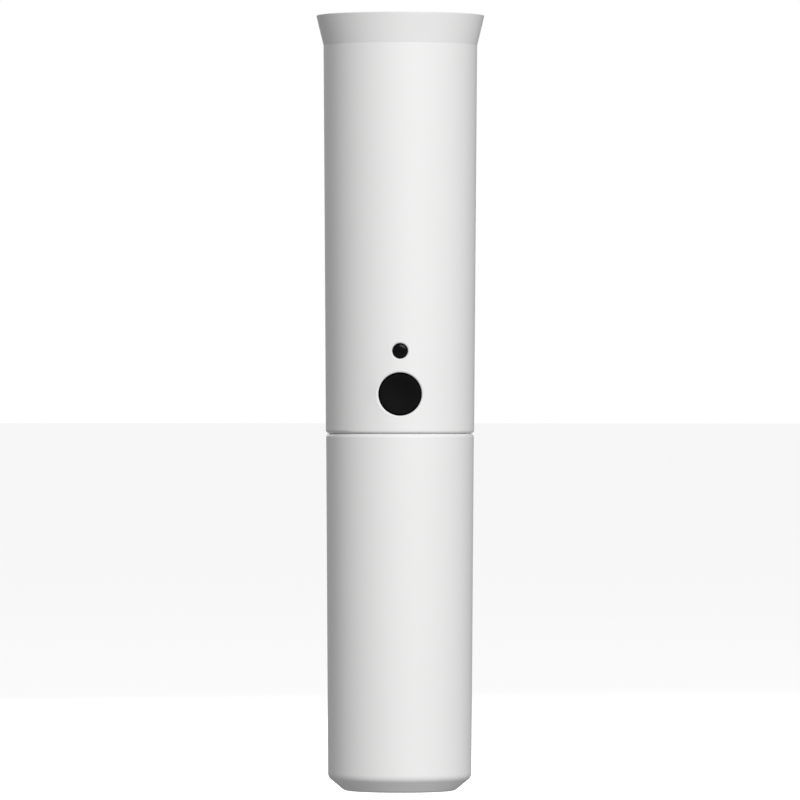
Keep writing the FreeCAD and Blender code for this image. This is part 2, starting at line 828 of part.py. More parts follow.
def power_switch():
    half = "power_switch_width / 2"
    case = block("power_switch_case", (f"-{half}", "-power_switch_face", f"power_height - {half}"),
                 (half, BOARD_FRONT, f"power_height + {half}"))
    well = rod("power_switch_well", "power_stem_radius + stem_clearance",
               ("0", "-power_switch_face + power_switch_cover", "power_height"),
               "power_switch_cover + cut_margin", "y")
    return subtract("power_switch", case, well)


def status_light_lens():
    """A smoked light pipe with a collar behind the tube's wall."""
    stem, collar = "light_pipe_radius - light_step", "light_pipe_radius + light_collar"
    return front_button("status_light_lens", [
        ("0", "light_back"), (stem, "light_back"), (stem, "light_collar_back"),
        (collar, "light_collar_back"), (collar, "light_collar_front"),
        ("light_pipe_radius", "light_collar_front"), ("light_pipe_radius", "light_face - light_edge_depth"),
        ("light_pipe_radius - light_edge_width", "light_face"), ("0", "light_face + light_crown")],
        "0", "light_height")


def status_led():
    return block("status_led",
                 ("-led_width / 2", f"{BOARD_FRONT} - led_depth", "light_height - led_height / 2"),
                 ("led_width / 2", BOARD_FRONT, "light_height + led_height / 2"))


# ---------------------------------------------------------------- boards in the handle

SCREW_PLACES = [(f"{side} * board_screw_x", level) for level in ("board_screw_low", "board_screw_high")
                for side in (-1, 1)]


def board_carrier():
    """The trough behind the main board, with a spigot that enters the cradle's collar."""
    body = new_body("board_carrier")
    pad(body, "XY_Plane", "spigot_bottom", "collar_top", disc("spigot_radius"))
    pad(body, "XY_Plane", "collar_top", "carrier_top", cut_disc("carrier_radius", "-board_back"))
    pad(body, "XY_Plane", "carrier_ring_bottom", "carrier_top", disc("carrier_radius"))
    pocket(body, "XY_Plane", "collar_top + carrier_floor", "carrier_top", disc("carrier_bore"))
    pocket(body, "XY_Plane", "spigot_bottom", "collar_top + carrier_floor", disc("spigot_bore"))
    pad(body, "XZ_Plane", "-board_back - boss_length", "board_back",
        *[disc("boss_radius", *place) for place in SCREW_PLACES])
    pocket(body, "XZ_Plane", "-screw_hole_depth", "board_back",
           *[disc("screw_shank + screw_bore_clearance", *place) for place in SCREW_PLACES])
    pocket(body, "YZ_Plane", "-carrier_radius - cut_margin", "carrier_radius + cut_margin",
           disc("carrier_hole", "0", "neck_screw_height"))
    rib = pad(body, "XY_Plane", "rib_start", "rib_start + rib_thickness",
              cut_disc("carrier_bore + rib_overlap", "carrier_bore - rib_depth"))
    doc.recompute()
    ribs = body.newObject("PartDesign::LinearPattern", "ribs")
    ribs.Originals = [rib]
    ribs.Direction = (rib.Profile[0], ["N_Axis"])
    ribs.Occurrences = 3
    bind(ribs, Length="rib_pitch * 2")
    body.Tip = ribs
    doc.recompute()
    return body


def main_board():
    body = new_body("main_board")
    pad(body, "XZ_Plane", "board_back", "board_back + board_thickness",
        rectangle("-board_half_width", "board_bottom", "board_half_width", "board_top"))
    pocket(body, "XZ_Plane", "board_back - cut_margin", "board_back + board_thickness + cut_margin",
           *[disc("screw_shank + board_hole_clearance", *place) for place in SCREW_PLACES])
    return body


def on_board(label, place, size):
    """A square-cornered part on the front of the main board, at (x, z), of (width, height, thickness)."""
    (x, z), (width, height, thickness) = place, size
    return block(label, (f"{x} - {width} / 2", f"{BOARD_FRONT} - {thickness}", f"{z} - {height} / 2"),
                 (f"{x} + {width} / 2", BOARD_FRONT, f"{z} + {height} / 2"))


def rf_shield():
    can = on_board("rf_shield_can", ("0", "shield_height"),
                   ("shield_width", "shield_length", "shield_depth"))
    hollow = on_board("rf_shield_hollow", ("0", "shield_height"),
                      ("(shield_width - 2 * shield_sheet)", "(shield_length - 2 * shield_sheet)",
                       "(shield_depth - shield_sheet)"))
    return subtract("rf_shield", can, hollow)


def processor_chip():
    return on_board("processor_chip", ("chip_across", "chip_height"),
                    ("chip_width", "chip_width", "chip_thickness"))


def board_components():
    capacitor = ("capacitor_length", "capacitor_side", "capacitor_side")
    inductor = ("inductor_side", "inductor_side", "inductor_depth")
    regulator = ("regulator_side", "regulator_side", "regulator_depth")
    crystal = ("crystal_length", "crystal_side", "crystal_depth")
    pieces = [on_board("crystal", ("-crystal_across", "crystal_row"), crystal)]
    for row in range(4):
        for column in range(3):
            x = f"-capacitor_start + capacitor_pitch_x * {column}"
            z = f"component_row + capacitor_pitch_z * {row}"
            pieces.append(on_board(f"capacitor_{row}_{column}", (x, z), capacitor))
    for place in range(2):
        level = f"component_row + inductor_pitch * {place}"
        pieces.append(on_board(f"inductor_{place}", ("inductor_across", level), inductor))
        x = f"-regulator_start + regulator_pitch * {place}"
        pieces.append(on_board(f"regulator_{place}", (x, "regulator_row"), regulator))
    return gather("board_components", pieces)


def screw(label, shank, head, head_height, length, placement):
    """A pan-head screw with a cross recess, its head's seat at the placement's point, shank along -Z."""
    stem = doc.addObject("Part::Cylinder", f"{label}_stem")
    bind(stem, Radius=shank, Height=length, Placement__Base__z=f"-({length})")
    cap = doc.addObject("Part::Cylinder", f"{label}_cap")
    bind(cap, Radius=head, Height=head_height)
    long, short = f"{head} * 0.7", f"{head} * 0.175"
    slots = [block(f"{label}_slot_{turn}", (f"-{across}", f"-{along}", f"{head_height} * 0.5"),
                   (across, along, f"{head_height} * 1.2"))
             for turn, (across, along) in enumerate(((long, short), (short, long)))]
    cross = join(f"{label}_cross", *slots)
    whole = join(f"{label}_whole", stem, cap)
    finished = subtract(label, whole, cross)
    finished.Placement = placement
    return finished


def board_screws():
    facing = FreeCAD.Placement(FreeCAD.Vector(), FreeCAD.Rotation(FreeCAD.Vector(1, 0, 0), 90))
    pieces = []
    for place, (x, level) in enumerate(SCREW_PLACES, start=1):
        piece = screw(f"board_screw_{place}", "screw_shank", "screw_head", "screw_head_height",
                      "board_screw_length", facing)
        bind(piece, Placement__Base__x=x, Placement__Base__y=BOARD_FRONT, Placement__Base__z=level)
        pieces.append(piece)
    return gather("board_screws", pieces)


def neck_screws():
    """Two screws through the carrier's top ring into the neck's skirt."""
    pieces = []
    for name, side in (("left", -1), ("right", 1)):
        facing = FreeCAD.Rotation(FreeCAD.Vector(0, 1, 0), 90 * side)
        piece = screw(f"neck_screw_{name}", "neck_screw_shank", "neck_screw_head", "neck_screw_head_height",
                      "neck_screw_length", FreeCAD.Placement(FreeCAD.Vector(), facing))
        bind(piece, Placement__Base__x=f"{side} * carrier_radius", Placement__Base__z="neck_screw_height")
        pieces.append(piece)
    return gather("neck_screws", pieces)


def ribbon(label, route, width):
    """A flat cable: a thin strip along a route of (y, z) points."""
    body = new_body(label)
    far = [(f"{y} + ribbon_thickness", z) for y, z in reversed(route)]
    pad(body, "YZ_Plane", f"-{width} / 2", f"{width} / 2", polygon(*route, *far))
    return body


def control_ribbon():
    return ribbon("control_ribbon", [
        ("-control_board_back", "panel_centre - 2"), ("-control_board_back", "panel_top + 1"),
        ("-board_back", "board_bottom - 1"), ("-board_back", "board_bottom + 4")], "control_ribbon_width")


def head_ribbon():
    return ribbon("head_ribbon", [
        ("-board_back", "board_top - 8"), ("-board_back", "board_top + 0.5"),
        ("-head_ribbon_depth", "carrier_top - 1"), ("-head_ribbon_depth", "head_board_seat")],
        "head_ribbon_width")


# ---------------------------------------------------------------- neck for the microphone head

def neck_socket():
    body = new_body("neck_socket")
    revolve(body, polygon(
        ("skirt_bore", "skirt_bottom"), ("skirt_radius", "skirt_bottom"), ("skirt_radius", "carrier_top"),
        ("carrier_radius", "carrier_top"), ("carrier_radius", "flange_top"),
        ("neck_root_radius", "flange_top"),
        ("neck_root_radius", "neck_pilot_bottom"), ("neck_pilot_radius", "neck_pilot_bottom"),
        ("neck_pilot_radius", "neck_top - neck_edge"), ("neck_pilot_radius - neck_edge", "neck_top"),
        ("neck_bore", "neck_top"), ("neck_bore", "head_board_seat"), ("seat_bore", "head_board_seat"),
        ("seat_bore", "carrier_top + neck_edge"), ("skirt_bore", "carrier_top - skirt_corner")))
    pocket(body, "YZ_Plane", "-carrier_radius - cut_margin", "carrier_radius + cut_margin",
           disc("skirt_hole", "0", "neck_screw_height"))
    thread(body, "neck_root_radius - thread_overlap", "neck_crest_radius", "neck_thread_start",
           "neck_thread_length", "neck_thread_pitch")
    return body


def retaining_ring():
    """A slotted nut on the neck's thread that holds the tube's ledge against the neck's flange."""
    body = new_body("retaining_ring")
    seat = "flange_top + ledge_thickness"
    top = f"{seat} + ring_height"
    pad(body, "XY_Plane", seat, top, disc("handle_bore - ring_clearance"),
        disc("neck_crest_radius + ring_thread_clearance"))
    slot = pocket(body, "XY_Plane", f"{top} - ring_slot_depth", f"{top} + cut_margin",
                  rectangle("neck_root_radius", "-ring_slot_width / 2", "handle_bore + cut_margin",
                            "ring_slot_width / 2"))
    doc.recompute()
    slots = body.newObject("PartDesign::PolarPattern", "slots")
    slots.Originals = [slot]
    slots.Axis = (slot.Profile[0], ["N_Axis"])
    slots.Angle = 360
    slots.Occurrences = 4
    body.Tip = slots
    doc.recompute()
    return body


def head_board():
    return rod("head_board", "head_board_radius", ("0", "0", "head_board_seat"), "board_thickness")


BLOCK_FOOT = "head_board_seat + board_thickness"
BLOCK_TOP = f"{BLOCK_FOOT} + block_height"
PIN_PLACES = ["-pin_pitch", "0", "pin_pitch"]


def contact_block():
    """The moulding that holds the three sprung contact pins."""
    body = new_body("contact_block")
    pad(body, "XY_Plane", BLOCK_FOOT, BLOCK_TOP,
        rectangle("-block_length / 2", "block_centre_y - block_width / 2", "block_length / 2",
                  "block_centre_y + block_width / 2"))
    pocket(body, "XY_Plane", BLOCK_FOOT, f"{BLOCK_TOP} - block_roof",
           *[disc("pin_well_radius", x, "block_centre_y") for x in PIN_PLACES])
    pocket(body, "XY_Plane", f"{BLOCK_TOP} - block_roof", f"{BLOCK_TOP} + cut_margin",
           *[disc("pin_hole_radius", x, "block_centre_y") for x in PIN_PLACES])

    def top_edge(edge):
        box = edge.BoundBox
        return box.ZMin > number(BLOCK_TOP) - 0.01 and box.DiagonalLength > 2.5 * number("pin_hole_radius")
    dress(body, "Chamfer", "block_edge", top_edge)
    return body


def contact_pin(label, x):
    """A round-tipped plunger with a flange that the block's top holds in."""
    body = new_body(label)
    flange = f"{BLOCK_TOP} - block_roof"
    foot = f"{flange} - pin_flange_height"
    revolve(body, polygon(
        ("0", foot), ("pin_flange_radius", foot), ("pin_flange_radius", flange),
        ("pin_radius", flange), ("pin_radius", "pin_tip - pin_tip_height"),
        ("pin_tip_radius", "pin_tip - pin_tip_crown"), ("0", "pin_tip")))
    bind(body, Placement__Base__x=x, Placement__Base__y="block_centre_y")
    return body


def contact_spring(label, x):
    """The spring between the round board and the pin's flange."""
    foot = f"{BLOCK_FOOT} + pin_spring_wire + pin_spring_gap"
    room = "block_height - block_roof - pin_flange_height"
    length = f"{room} - 2 * pin_spring_wire - 4 * pin_spring_gap"
    return coil(label, "pin_spring_radius", "pin_spring_wire", f"({length}) / pin_spring_turns", length,
                (x, "block_centre_y", foot))


def gain_switch():
    top = f"{BLOCK_FOOT} + gain_height"
    case = block("gain_switch_case", ("-gain_length / 2", "gain_centre_y - gain_width / 2", BLOCK_FOOT),
                 ("gain_length / 2", "gain_centre_y + gain_width / 2", top))
    reach = "gain_knob_length / 2 + gain_travel / 2 + 2 * gain_clearance"
    half = "gain_knob_width / 2 + gain_clearance"
    slot = block("gain_switch_slot",
                 (f"-({reach})", f"gain_centre_y - ({half})", f"{top} - gain_height / 2"),
                 (reach, f"gain_centre_y + {half}", f"{top} + cut_margin"))
    return subtract("gain_switch", case, slot)


def gain_slider():
    """The slide switch's knob, at the left end of its travel."""
    left = "-gain_travel / 2 - gain_knob_length / 2"
    foot = f"{BLOCK_FOOT} + gain_height / 2 + gain_clearance"
    return block("gain_slider", (left, "gain_centre_y - gain_knob_width / 2", foot),
                 (f"{left} + gain_knob_length", "gain_centre_y + gain_knob_width / 2",
                  f"{BLOCK_FOOT} + gain_height + gain_knob_rise"))


# ---------------------------------------------------------------- the whole part

def build_all():
    deck = "cradle_deck + contact_sheet"
    ceiling = "bay_top - contact_sheet"
    gap = f"({ceiling}) - ({deck}) - cell_can_length - cell_cap_length"
    spring_length = f"({gap}) - 2 * spring_wire"
    parts = [
        handle_tube(), battery_cup(), cup_foam_pad(), seal_ring(), battery_cradle(),
        cell("battery_1", -1, f"({deck}) + ({gap})", cap_up=True),
        cell("battery_2", 1, f"({deck}) + cell_cap_length", cap_up=False),
        bridge_contact(), top_contact("positive_contact", -1), top_contact("negative_contact", 1),
        coil("cell_spring_lower", "spring_foot_radius", "spring_wire", "spring_pitch", spring_length,
             ("-cell_offset", "0", f"({deck}) + spring_wire"), "-spring_taper"),
        coil("cell_spring_upper", "spring_tip_radius", "spring_wire", "spring_pitch", spring_length,
             ("cell_offset", "0", f"({ceiling}) - spring_wire - ({spring_length})"), "spring_taper"),
        power_wire("power_wire_positive", -1), power_wire("power_wire_negative", 1),
        antenna_strip(), rating_label(),
        control_board(), display_module(), display_window(),
        panel_button("group_button", -1), panel_button("channel_button", 1),
        panel_switch("group_switch", -1), panel_switch("channel_switch", 1), control_ribbon(),
        power_button(), power_switch_stem(), power_switch(), status_light_lens(), status_led(),
        board_carrier(), main_board(), rf_shield(), processor_chip(), board_components(), board_screws(),
        head_ribbon(), neck_socket(), neck_screws(), retaining_ring(), head_board(), contact_block(),
        gain_switch(), gain_slider(),
    ]
    for pin, x in enumerate(PIN_PLACES, start=1):
        parts.append(contact_pin(f"contact_pin_{pin}", x))
        parts.append(contact_spring(f"contact_spring_{pin}", x))
    return parts


parts = build_all()
doc.recompute()
for item in doc.Objects:
    if any(word in state for state in item.State for word in ("Invalid", "Error")):
        raise ValueError(f"{item.Label} failed: {item.State}")
for part in parts:
    if part.Shape.isNull() or not part.Shape.isValid():
        raise ValueError(f"{part.Label} has no valid shape")
os.makedirs("parts", exist_ok=True)
for part in parts:
    part.Shape.exportStep(f"parts/{part.Label}.step")
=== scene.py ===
import json
import math

import bmesh
import bpy
from mathutils import Matrix, Vector

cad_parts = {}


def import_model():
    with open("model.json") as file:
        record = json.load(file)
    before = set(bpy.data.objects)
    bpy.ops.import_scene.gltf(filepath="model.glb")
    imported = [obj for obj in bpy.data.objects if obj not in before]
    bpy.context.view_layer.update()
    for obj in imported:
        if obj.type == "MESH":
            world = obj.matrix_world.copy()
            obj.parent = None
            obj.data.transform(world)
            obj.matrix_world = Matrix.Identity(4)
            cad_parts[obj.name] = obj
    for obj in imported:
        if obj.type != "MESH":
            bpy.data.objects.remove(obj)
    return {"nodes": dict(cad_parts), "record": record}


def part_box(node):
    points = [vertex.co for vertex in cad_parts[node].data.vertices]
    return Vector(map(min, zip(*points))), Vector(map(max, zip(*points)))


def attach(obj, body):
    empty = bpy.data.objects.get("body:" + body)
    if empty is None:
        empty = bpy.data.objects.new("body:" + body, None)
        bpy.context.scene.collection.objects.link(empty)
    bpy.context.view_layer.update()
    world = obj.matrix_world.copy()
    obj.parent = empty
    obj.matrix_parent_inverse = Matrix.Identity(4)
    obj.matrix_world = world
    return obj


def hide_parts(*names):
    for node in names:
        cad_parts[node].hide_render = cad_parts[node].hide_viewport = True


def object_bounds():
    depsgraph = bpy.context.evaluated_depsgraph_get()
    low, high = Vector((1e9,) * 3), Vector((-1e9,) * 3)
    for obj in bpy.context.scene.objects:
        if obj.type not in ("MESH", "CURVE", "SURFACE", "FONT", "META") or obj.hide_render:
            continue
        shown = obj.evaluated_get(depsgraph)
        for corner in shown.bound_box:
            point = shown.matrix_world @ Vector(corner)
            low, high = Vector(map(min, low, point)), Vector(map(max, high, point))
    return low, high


# Looks for a handheld wireless microphone transmitter. Metres, +Z up the tube, its front on -Y.

MM = 0.001
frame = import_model()
cad_low, cad_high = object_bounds()


# ---------------------------------------------------------------- node helpers

def add(tree, kind, inputs=None, **settings):
    """Add a node; an input given as a socket is linked and any other value is set."""
    node = tree.nodes.new(kind)
    for name, value in settings.items():
        setattr(node, name, value)
    for name, value in (inputs or {}).items():
        if isinstance(value, bpy.types.NodeSocket):
            tree.links.new(value, node.inputs[name])
        else:
            node.inputs[name].default_value = value
    return node


def calc(tree, operation, first, second=0.0, third=0.0, clamp=False):
    """One maths step on up to three values."""
    node = add(tree, "ShaderNodeMath", {0: first, 1: second, 2: third}, operation=operation, use_clamp=clamp)
    return node.outputs[0]


def blend_colour(tree, factor, first, second, mode="MIX"):
    """Mix two colours by a factor."""
    node = add(tree, "ShaderNodeMix", {0: factor, 6: first, 7: second}, data_type="RGBA", blend_type=mode)
    return node.outputs[2]


def spread(tree, value, low, high, start=0.0, end=1.0):
    """Map a value from start..end to low..high, clamped."""
    node = add(tree, "ShaderNodeMapRange", {0: value, 1: start, 2: end, 3: low, 4: high})
    return node.outputs[0]


def noise(tree, place, scale, detail=2.0, rough=0.5):
    """Soft noise from 0 to 1; the scale is in blobs a metre."""
    inputs = {"Vector": place, "Scale": scale, "Detail": detail, "Roughness": rough}
    return add(tree, "ShaderNodeTexNoise", inputs).outputs[0]


def object_place(tree):
    """Where a point lies on its own object, in metres."""
    return add(tree, "ShaderNodeTexCoord").outputs["Object"]


def new_group(name, inputs, outputs):
    """A shader node group with named sockets; returns it with its input and output nodes."""
    tree = bpy.data.node_groups.new(name, "ShaderNodeTree")
    kinds = {"colour": "NodeSocketColor", "value": "NodeSocketFloat", "vector": "NodeSocketVector"}
    for label, (kind, value) in inputs.items():
        socket = tree.interface.new_socket(name=label, in_out="INPUT", socket_type=kinds[kind])
        socket.default_value = value
    for label, kind in outputs.items():
        tree.interface.new_socket(name=label, in_out="OUTPUT", socket_type=kinds[kind])
    return tree, tree.nodes.new("NodeGroupInput").outputs, tree.nodes.new("NodeGroupOutput").inputs


def use_group(tree, group, **inputs):
    """Place a group; an underscore in an argument stands for a space in the socket's name."""
    node = tree.nodes.new("ShaderNodeGroup")
    node.node_tree = group
    for name, value in inputs.items():
        socket = node.inputs[name.replace("_", " ")]
        if isinstance(value, bpy.types.NodeSocket):
            tree.links.new(value, socket)
        else:
            socket.default_value = value
    return node.outputs


def rgb(red, green, blue):
    """A colour with full alpha."""
    return (red, green, blue, 1.0)


# ---------------------------------------------------------------- effects shared by materials

def make_moulded_grain():
    """Fine spark-eroded grain, cloudy colour and uneven gloss of a moulded surface."""
    tree, given, result = new_group(
        "moulded_grain",
        {"Color": ("colour", rgb(0.8, 0.8, 0.8)), "Mottle": ("value", 0.02), "Grain Size": ("value", 0.0003),
         "Roughness": ("value", 0.4), "Gloss Spread": ("value", 0.05)},
        {"Color": "colour", "Roughness": "value", "Height": "value"})
    place = object_place(tree)
    frequency = calc(tree, "DIVIDE", 1.0, given["Grain Size"])
    grain = noise(tree, place, frequency, 3.0, 0.6)
    cloud = noise(tree, place, 45.0, 3.0, 0.55)
    shade = calc(tree, "MULTIPLY_ADD", calc(tree, "SUBTRACT", cloud, 0.5), given["Mottle"], 1.0)
    grey = add(tree, "ShaderNodeCombineColor", {0: shade, 1: shade, 2: shade}).outputs[0]
    tree.links.new(blend_colour(tree, 1.0, given["Color"], grey, "MULTIPLY"), result["Color"])
    gloss = noise(tree, place, 160.0, 4.0, 0.6)
    uneven = calc(tree, "MULTIPLY_ADD", calc(tree, "SUBTRACT", gloss, 0.5), given["Gloss Spread"],
                  given["Roughness"])
    tree.links.new(uneven, result["Roughness"])
    tree.links.new(grain, result["Height"])
    return tree


def make_edge_wear():
    """Rubbed edges: where the surface turns sharply, broken up by noise."""
    tree, given, result = new_group(
        "edge_wear",
        {"Color": ("colour", rgb(0.8, 0.8, 0.8)), "Worn Color": ("colour", rgb(0.9, 0.9, 0.9)),
         "Width": ("value", 0.0004), "Amount": ("value", 0.5)},
        {"Color": "colour", "Mask": "value"})
    rounded = add(tree, "ShaderNodeBevel", {"Radius": given["Width"]}, samples=4).outputs[0]
    normal = add(tree, "ShaderNodeNewGeometry").outputs["Normal"]
    dot = add(tree, "ShaderNodeVectorMath", {0: rounded, 1: normal}, operation="DOT_PRODUCT").outputs["Value"]
    turn = spread(tree, calc(tree, "SUBTRACT", 1.0, dot), 0.0, 1.0, 0.01, 0.16)
    patches = spread(tree, noise(tree, object_place(tree), 420.0, 5.0, 0.65), 0.15, 1.0, 0.38, 0.62)
    mask = calc(tree, "MULTIPLY", calc(tree, "MULTIPLY", turn, patches), given["Amount"], clamp=True)
    tree.links.new(mask, result["Mask"])
    tree.links.new(blend_colour(tree, mask, given["Color"], given["Worn Color"]), result["Color"])
    return tree


def make_hand_marks():
    """Smudges and hair-fine scratches left by handling."""
    tree, given, result = new_group(
        "hand_marks",
        {"Roughness": ("value", 0.4), "Smudge": ("value", 0.1), "Scratch": ("value", 0.1)},
        {"Roughness": "value", "Height": "value"})
    place = object_place(tree)
    smudge = spread(tree, noise(tree, place, 70.0, 4.0, 0.7), 0.0, 1.0, 0.45, 0.75)
    stretched = add(tree, "ShaderNodeMapping", {"Vector": place, "Rotation": (0.5, 0.9, 0.3),
                                                "Scale": (1.0, 1.0, 14.0)}).outputs[0]
    lines = spread(tree, noise(tree, stretched, 240.0, 2.0, 0.5), 1.0, 0.0, 0.0, 0.022)
    thin = noise(tree, place, 55.0, 1.0, 0.5)
    hair = calc(tree, "MULTIPLY", lines, spread(tree, thin, 0.0, 1.0, 0.5, 0.7))
    rough = calc(tree, "MULTIPLY_ADD", smudge, given["Smudge"], given["Roughness"])
    rough = calc(tree, "MULTIPLY_ADD", hair, given["Scratch"], rough)
    tree.links.new(rough, result["Roughness"])
    tree.links.new(calc(tree, "MULTIPLY", hair, -1.0), result["Height"])
    return tree


def make_turned_rings():
    """Lathe marks round the tube's axis, finer and coarser by turns."""
    tree, given, result = new_group(
        "turned_rings",
        {"Roughness": ("value", 0.3), "Spacing": ("value", 0.00012), "Gloss Spread": ("value", 0.12)},
        {"Roughness": "value", "Height": "value"})
    parts = add(tree, "ShaderNodeSeparateXYZ", {0: object_place(tree)}).outputs
    radius = calc(tree, "SQRT", calc(tree, "ADD", calc(tree, "MULTIPLY", parts[0], parts[0]),
                                     calc(tree, "MULTIPLY", parts[1], parts[1])))
    along = calc(tree, "DIVIDE", calc(tree, "ADD", radius, parts[2]), given["Spacing"])
    line = add(tree, "ShaderNodeTexNoise", {"W": along, "Scale": 1.0, "Detail": 3.0}, noise_dimensions="1D")
    rough = calc(tree, "MULTIPLY_ADD", calc(tree, "SUBTRACT", line.outputs[0], 0.5), given["Gloss Spread"],
                 given["Roughness"])
    tree.links.new(rough, result["Roughness"])
    tree.links.new(line.outputs[0], result["Height"])
    return tree


GRAIN = make_moulded_grain()
WEAR = make_edge_wear()
MARKS = make_hand_marks()
RINGS = make_turned_rings()


# ---------------------------------------------------------------- materials

def new_material(name, **sockets):
    """An empty material with one Principled shader; uniform values go straight on its sockets."""
    material = bpy.data.materials.new(f"{name}_finish")
    material.use_nodes = True
    tree = material.node_tree
    shader = tree.nodes["Principled BSDF"]
    for label, value in sockets.items():
        shader.inputs[label.replace("_", " ")].default_value = value
    return material, tree, shader


def feed(tree, shader, height=None, bump=0.1, distance=0.00005, **sockets):
    """Link colours and values to the shader, and a height to its normal through a bump."""
    for label, socket in sockets.items():
        tree.links.new(socket, shader.inputs[label.replace("_", " ")])
    if height is not None:
        node = add(tree, "ShaderNodeBump", {"Height": height, "Strength": bump, "Distance": distance})
        tree.links.new(node.outputs[0], shader.inputs["Normal"])


def moulded(name, colour, worn, roughness=0.42, grain=0.0003, mottle=0.03, smudge=0.05, scratch=0.1,
            wear=0.5, bump=0.12, width=0.0003, **sockets):
    """Moulded plastic or rubber: grain, cloudy colour, smudges, scratches and rubbed edges."""
    material, tree, shader = new_material(name, **sockets)
    skin = use_group(tree, GRAIN, Color=colour, Mottle=mottle, Grain_Size=grain, Roughness=roughness,
                     Gloss_Spread=0.12)
    marks = use_group(tree, MARKS, Roughness=skin["Roughness"], Smudge=smudge, Scratch=scratch)
    rubbed = use_group(tree, WEAR, Color=skin["Color"], Worn_Color=worn, Width=width, Amount=wear)
    height = calc(tree, "MULTIPLY_ADD", marks["Height"], 0.5, skin["Height"])
    feed(tree, shader, height, bump, Base_Color=rubbed["Color"], Roughness=marks["Roughness"])
    return material


def plated(name, colour, worn, roughness=0.28, grain=0.00008, mottle=0.06, bump=0.05, spread_of_gloss=0.15):
    """Sheet metal or wire with a plating: drawn grain, slight tarnish and brighter rubbed edges."""
    material, tree, shader = new_material(name, Metallic=1.0)
    skin = use_group(tree, GRAIN, Color=colour, Mottle=mottle, Grain_Size=grain, Roughness=roughness,
                     Gloss_Spread=spread_of_gloss)
    marks = use_group(tree, MARKS, Roughness=skin["Roughness"], Smudge=0.15, Scratch=0.2)
    rubbed = use_group(tree, WEAR, Color=skin["Color"], Worn_Color=worn, Width=0.00015, Amount=0.7)
    height = calc(tree, "MULTIPLY_ADD", marks["Height"], 0.6, skin["Height"])
    feed(tree, shader, height, bump, Base_Color=rubbed["Color"], Roughness=marks["Roughness"])
    return material


def turned(name, colour, worn, roughness=0.3, spacing=0.00012, gloss=0.14, bump=0.12, **sockets):
    """Metal turned on a lathe, with rings round the tube's axis."""
    material, tree, shader = new_material(name, **sockets)
    skin = use_group(tree, GRAIN, Color=colour, Mottle=0.05, Grain_Size=0.0001, Roughness=roughness,
                     Gloss_Spread=0.05)
    rings = use_group(tree, RINGS, Roughness=skin["Roughness"], Spacing=spacing, Gloss_Spread=gloss)
    rubbed = use_group(tree, WEAR, Color=skin["Color"], Worn_Color=worn, Width=0.0002, Amount=0.8)
    height = calc(tree, "MULTIPLY_ADD", skin["Height"], 0.3, rings["Height"])
    feed(tree, shader, height, bump, 0.00002, Base_Color=rubbed["Color"], Roughness=rings["Roughness"])
    return material


def solder_mask():
    """Green lacquer over glass cloth, with copper tracks that show through as raised paler lines."""
    material, tree, shader = new_material("board_mask", Coat_Weight=0.3, Coat_Roughness=0.15)
    place = object_place(tree)
    parts = add(tree, "ShaderNodeSeparateXYZ", {0: place}).outputs
    upright = add(tree, "ShaderNodeCombineXYZ",
                  {0: parts[0], 1: calc(tree, "ADD", parts[1], parts[2])}).outputs[0]
    cells = add(tree, "ShaderNodeTexVoronoi", {"Vector": upright, "Scale": 520.0, "Randomness": 0.8},
                distance="CHEBYCHEV", feature="F1").outputs
    track = spread(tree, cells["Distance"], 1.0, 0.0, 0.42, 0.5)
    via = add(tree, "ShaderNodeTexVoronoi", {"Vector": upright, "Scale": 260.0, "Randomness": 1.0}).outputs
    dot = spread(tree, via["Distance"], 1.0, 0.0, 0.1, 0.13)
    lacquer = blend_colour(tree, track, rgb(0.010, 0.085, 0.040), rgb(0.018, 0.135, 0.062))
    colour = blend_colour(tree, dot, lacquer, rgb(0.35, 0.26, 0.10))
    marks = use_group(tree, MARKS, Roughness=0.32, Smudge=0.15, Scratch=0.1)
    weave = noise(tree, place, 4200.0, 2.0, 0.6)
    height = calc(tree, "MULTIPLY_ADD", track, 1.6, calc(tree, "MULTIPLY", weave, 0.5))
    feed(tree, shader, height, 0.35, 0.00003, Base_Color=colour, Roughness=marks["Roughness"])
    return material


def cell_film():
    """Printed film shrunk on the cell: a dark band at one end, faint wrinkles round the edge, fine
    metallic flake."""
    material, tree, shader = new_material("cell_can", Coat_Weight=0.35, Coat_Roughness=0.12)
    place = object_place(tree)
    height = add(tree, "ShaderNodeSeparateXYZ", {0: place}).outputs[2]
    band = spread(tree, height, 0.0, 1.0, 0.0415, 0.0417)
    thin = calc(tree, "MULTIPLY", spread(tree, height, 0.0, 1.0, 0.0399, 0.0400),
                spread(tree, height, 1.0, 0.0, 0.0405, 0.0406))
    flake = noise(tree, place, 5200.0, 1.0, 0.5)
    ground = blend_colour(tree, flake, rgb(0.10, 0.13, 0.18), rgb(0.20, 0.25, 0.33))
    banded = blend_colour(tree, band, ground, rgb(0.42, 0.24, 0.10))
    colour = blend_colour(tree, thin, banded, rgb(0.62, 0.62, 0.60))
    marks = use_group(tree, MARKS, Roughness=0.3, Smudge=0.12, Scratch=0.25)
    rubbed = use_group(tree, WEAR, Color=colour, Worn_Color=rgb(0.55, 0.55, 0.55), Width=0.0003, Amount=0.35)
    ripple = noise(tree, place, 620.0, 2.0, 0.5)
    feed(tree, shader, ripple, 0.18, 0.00004, Base_Color=rubbed["Color"], Roughness=marks["Roughness"])
    return material


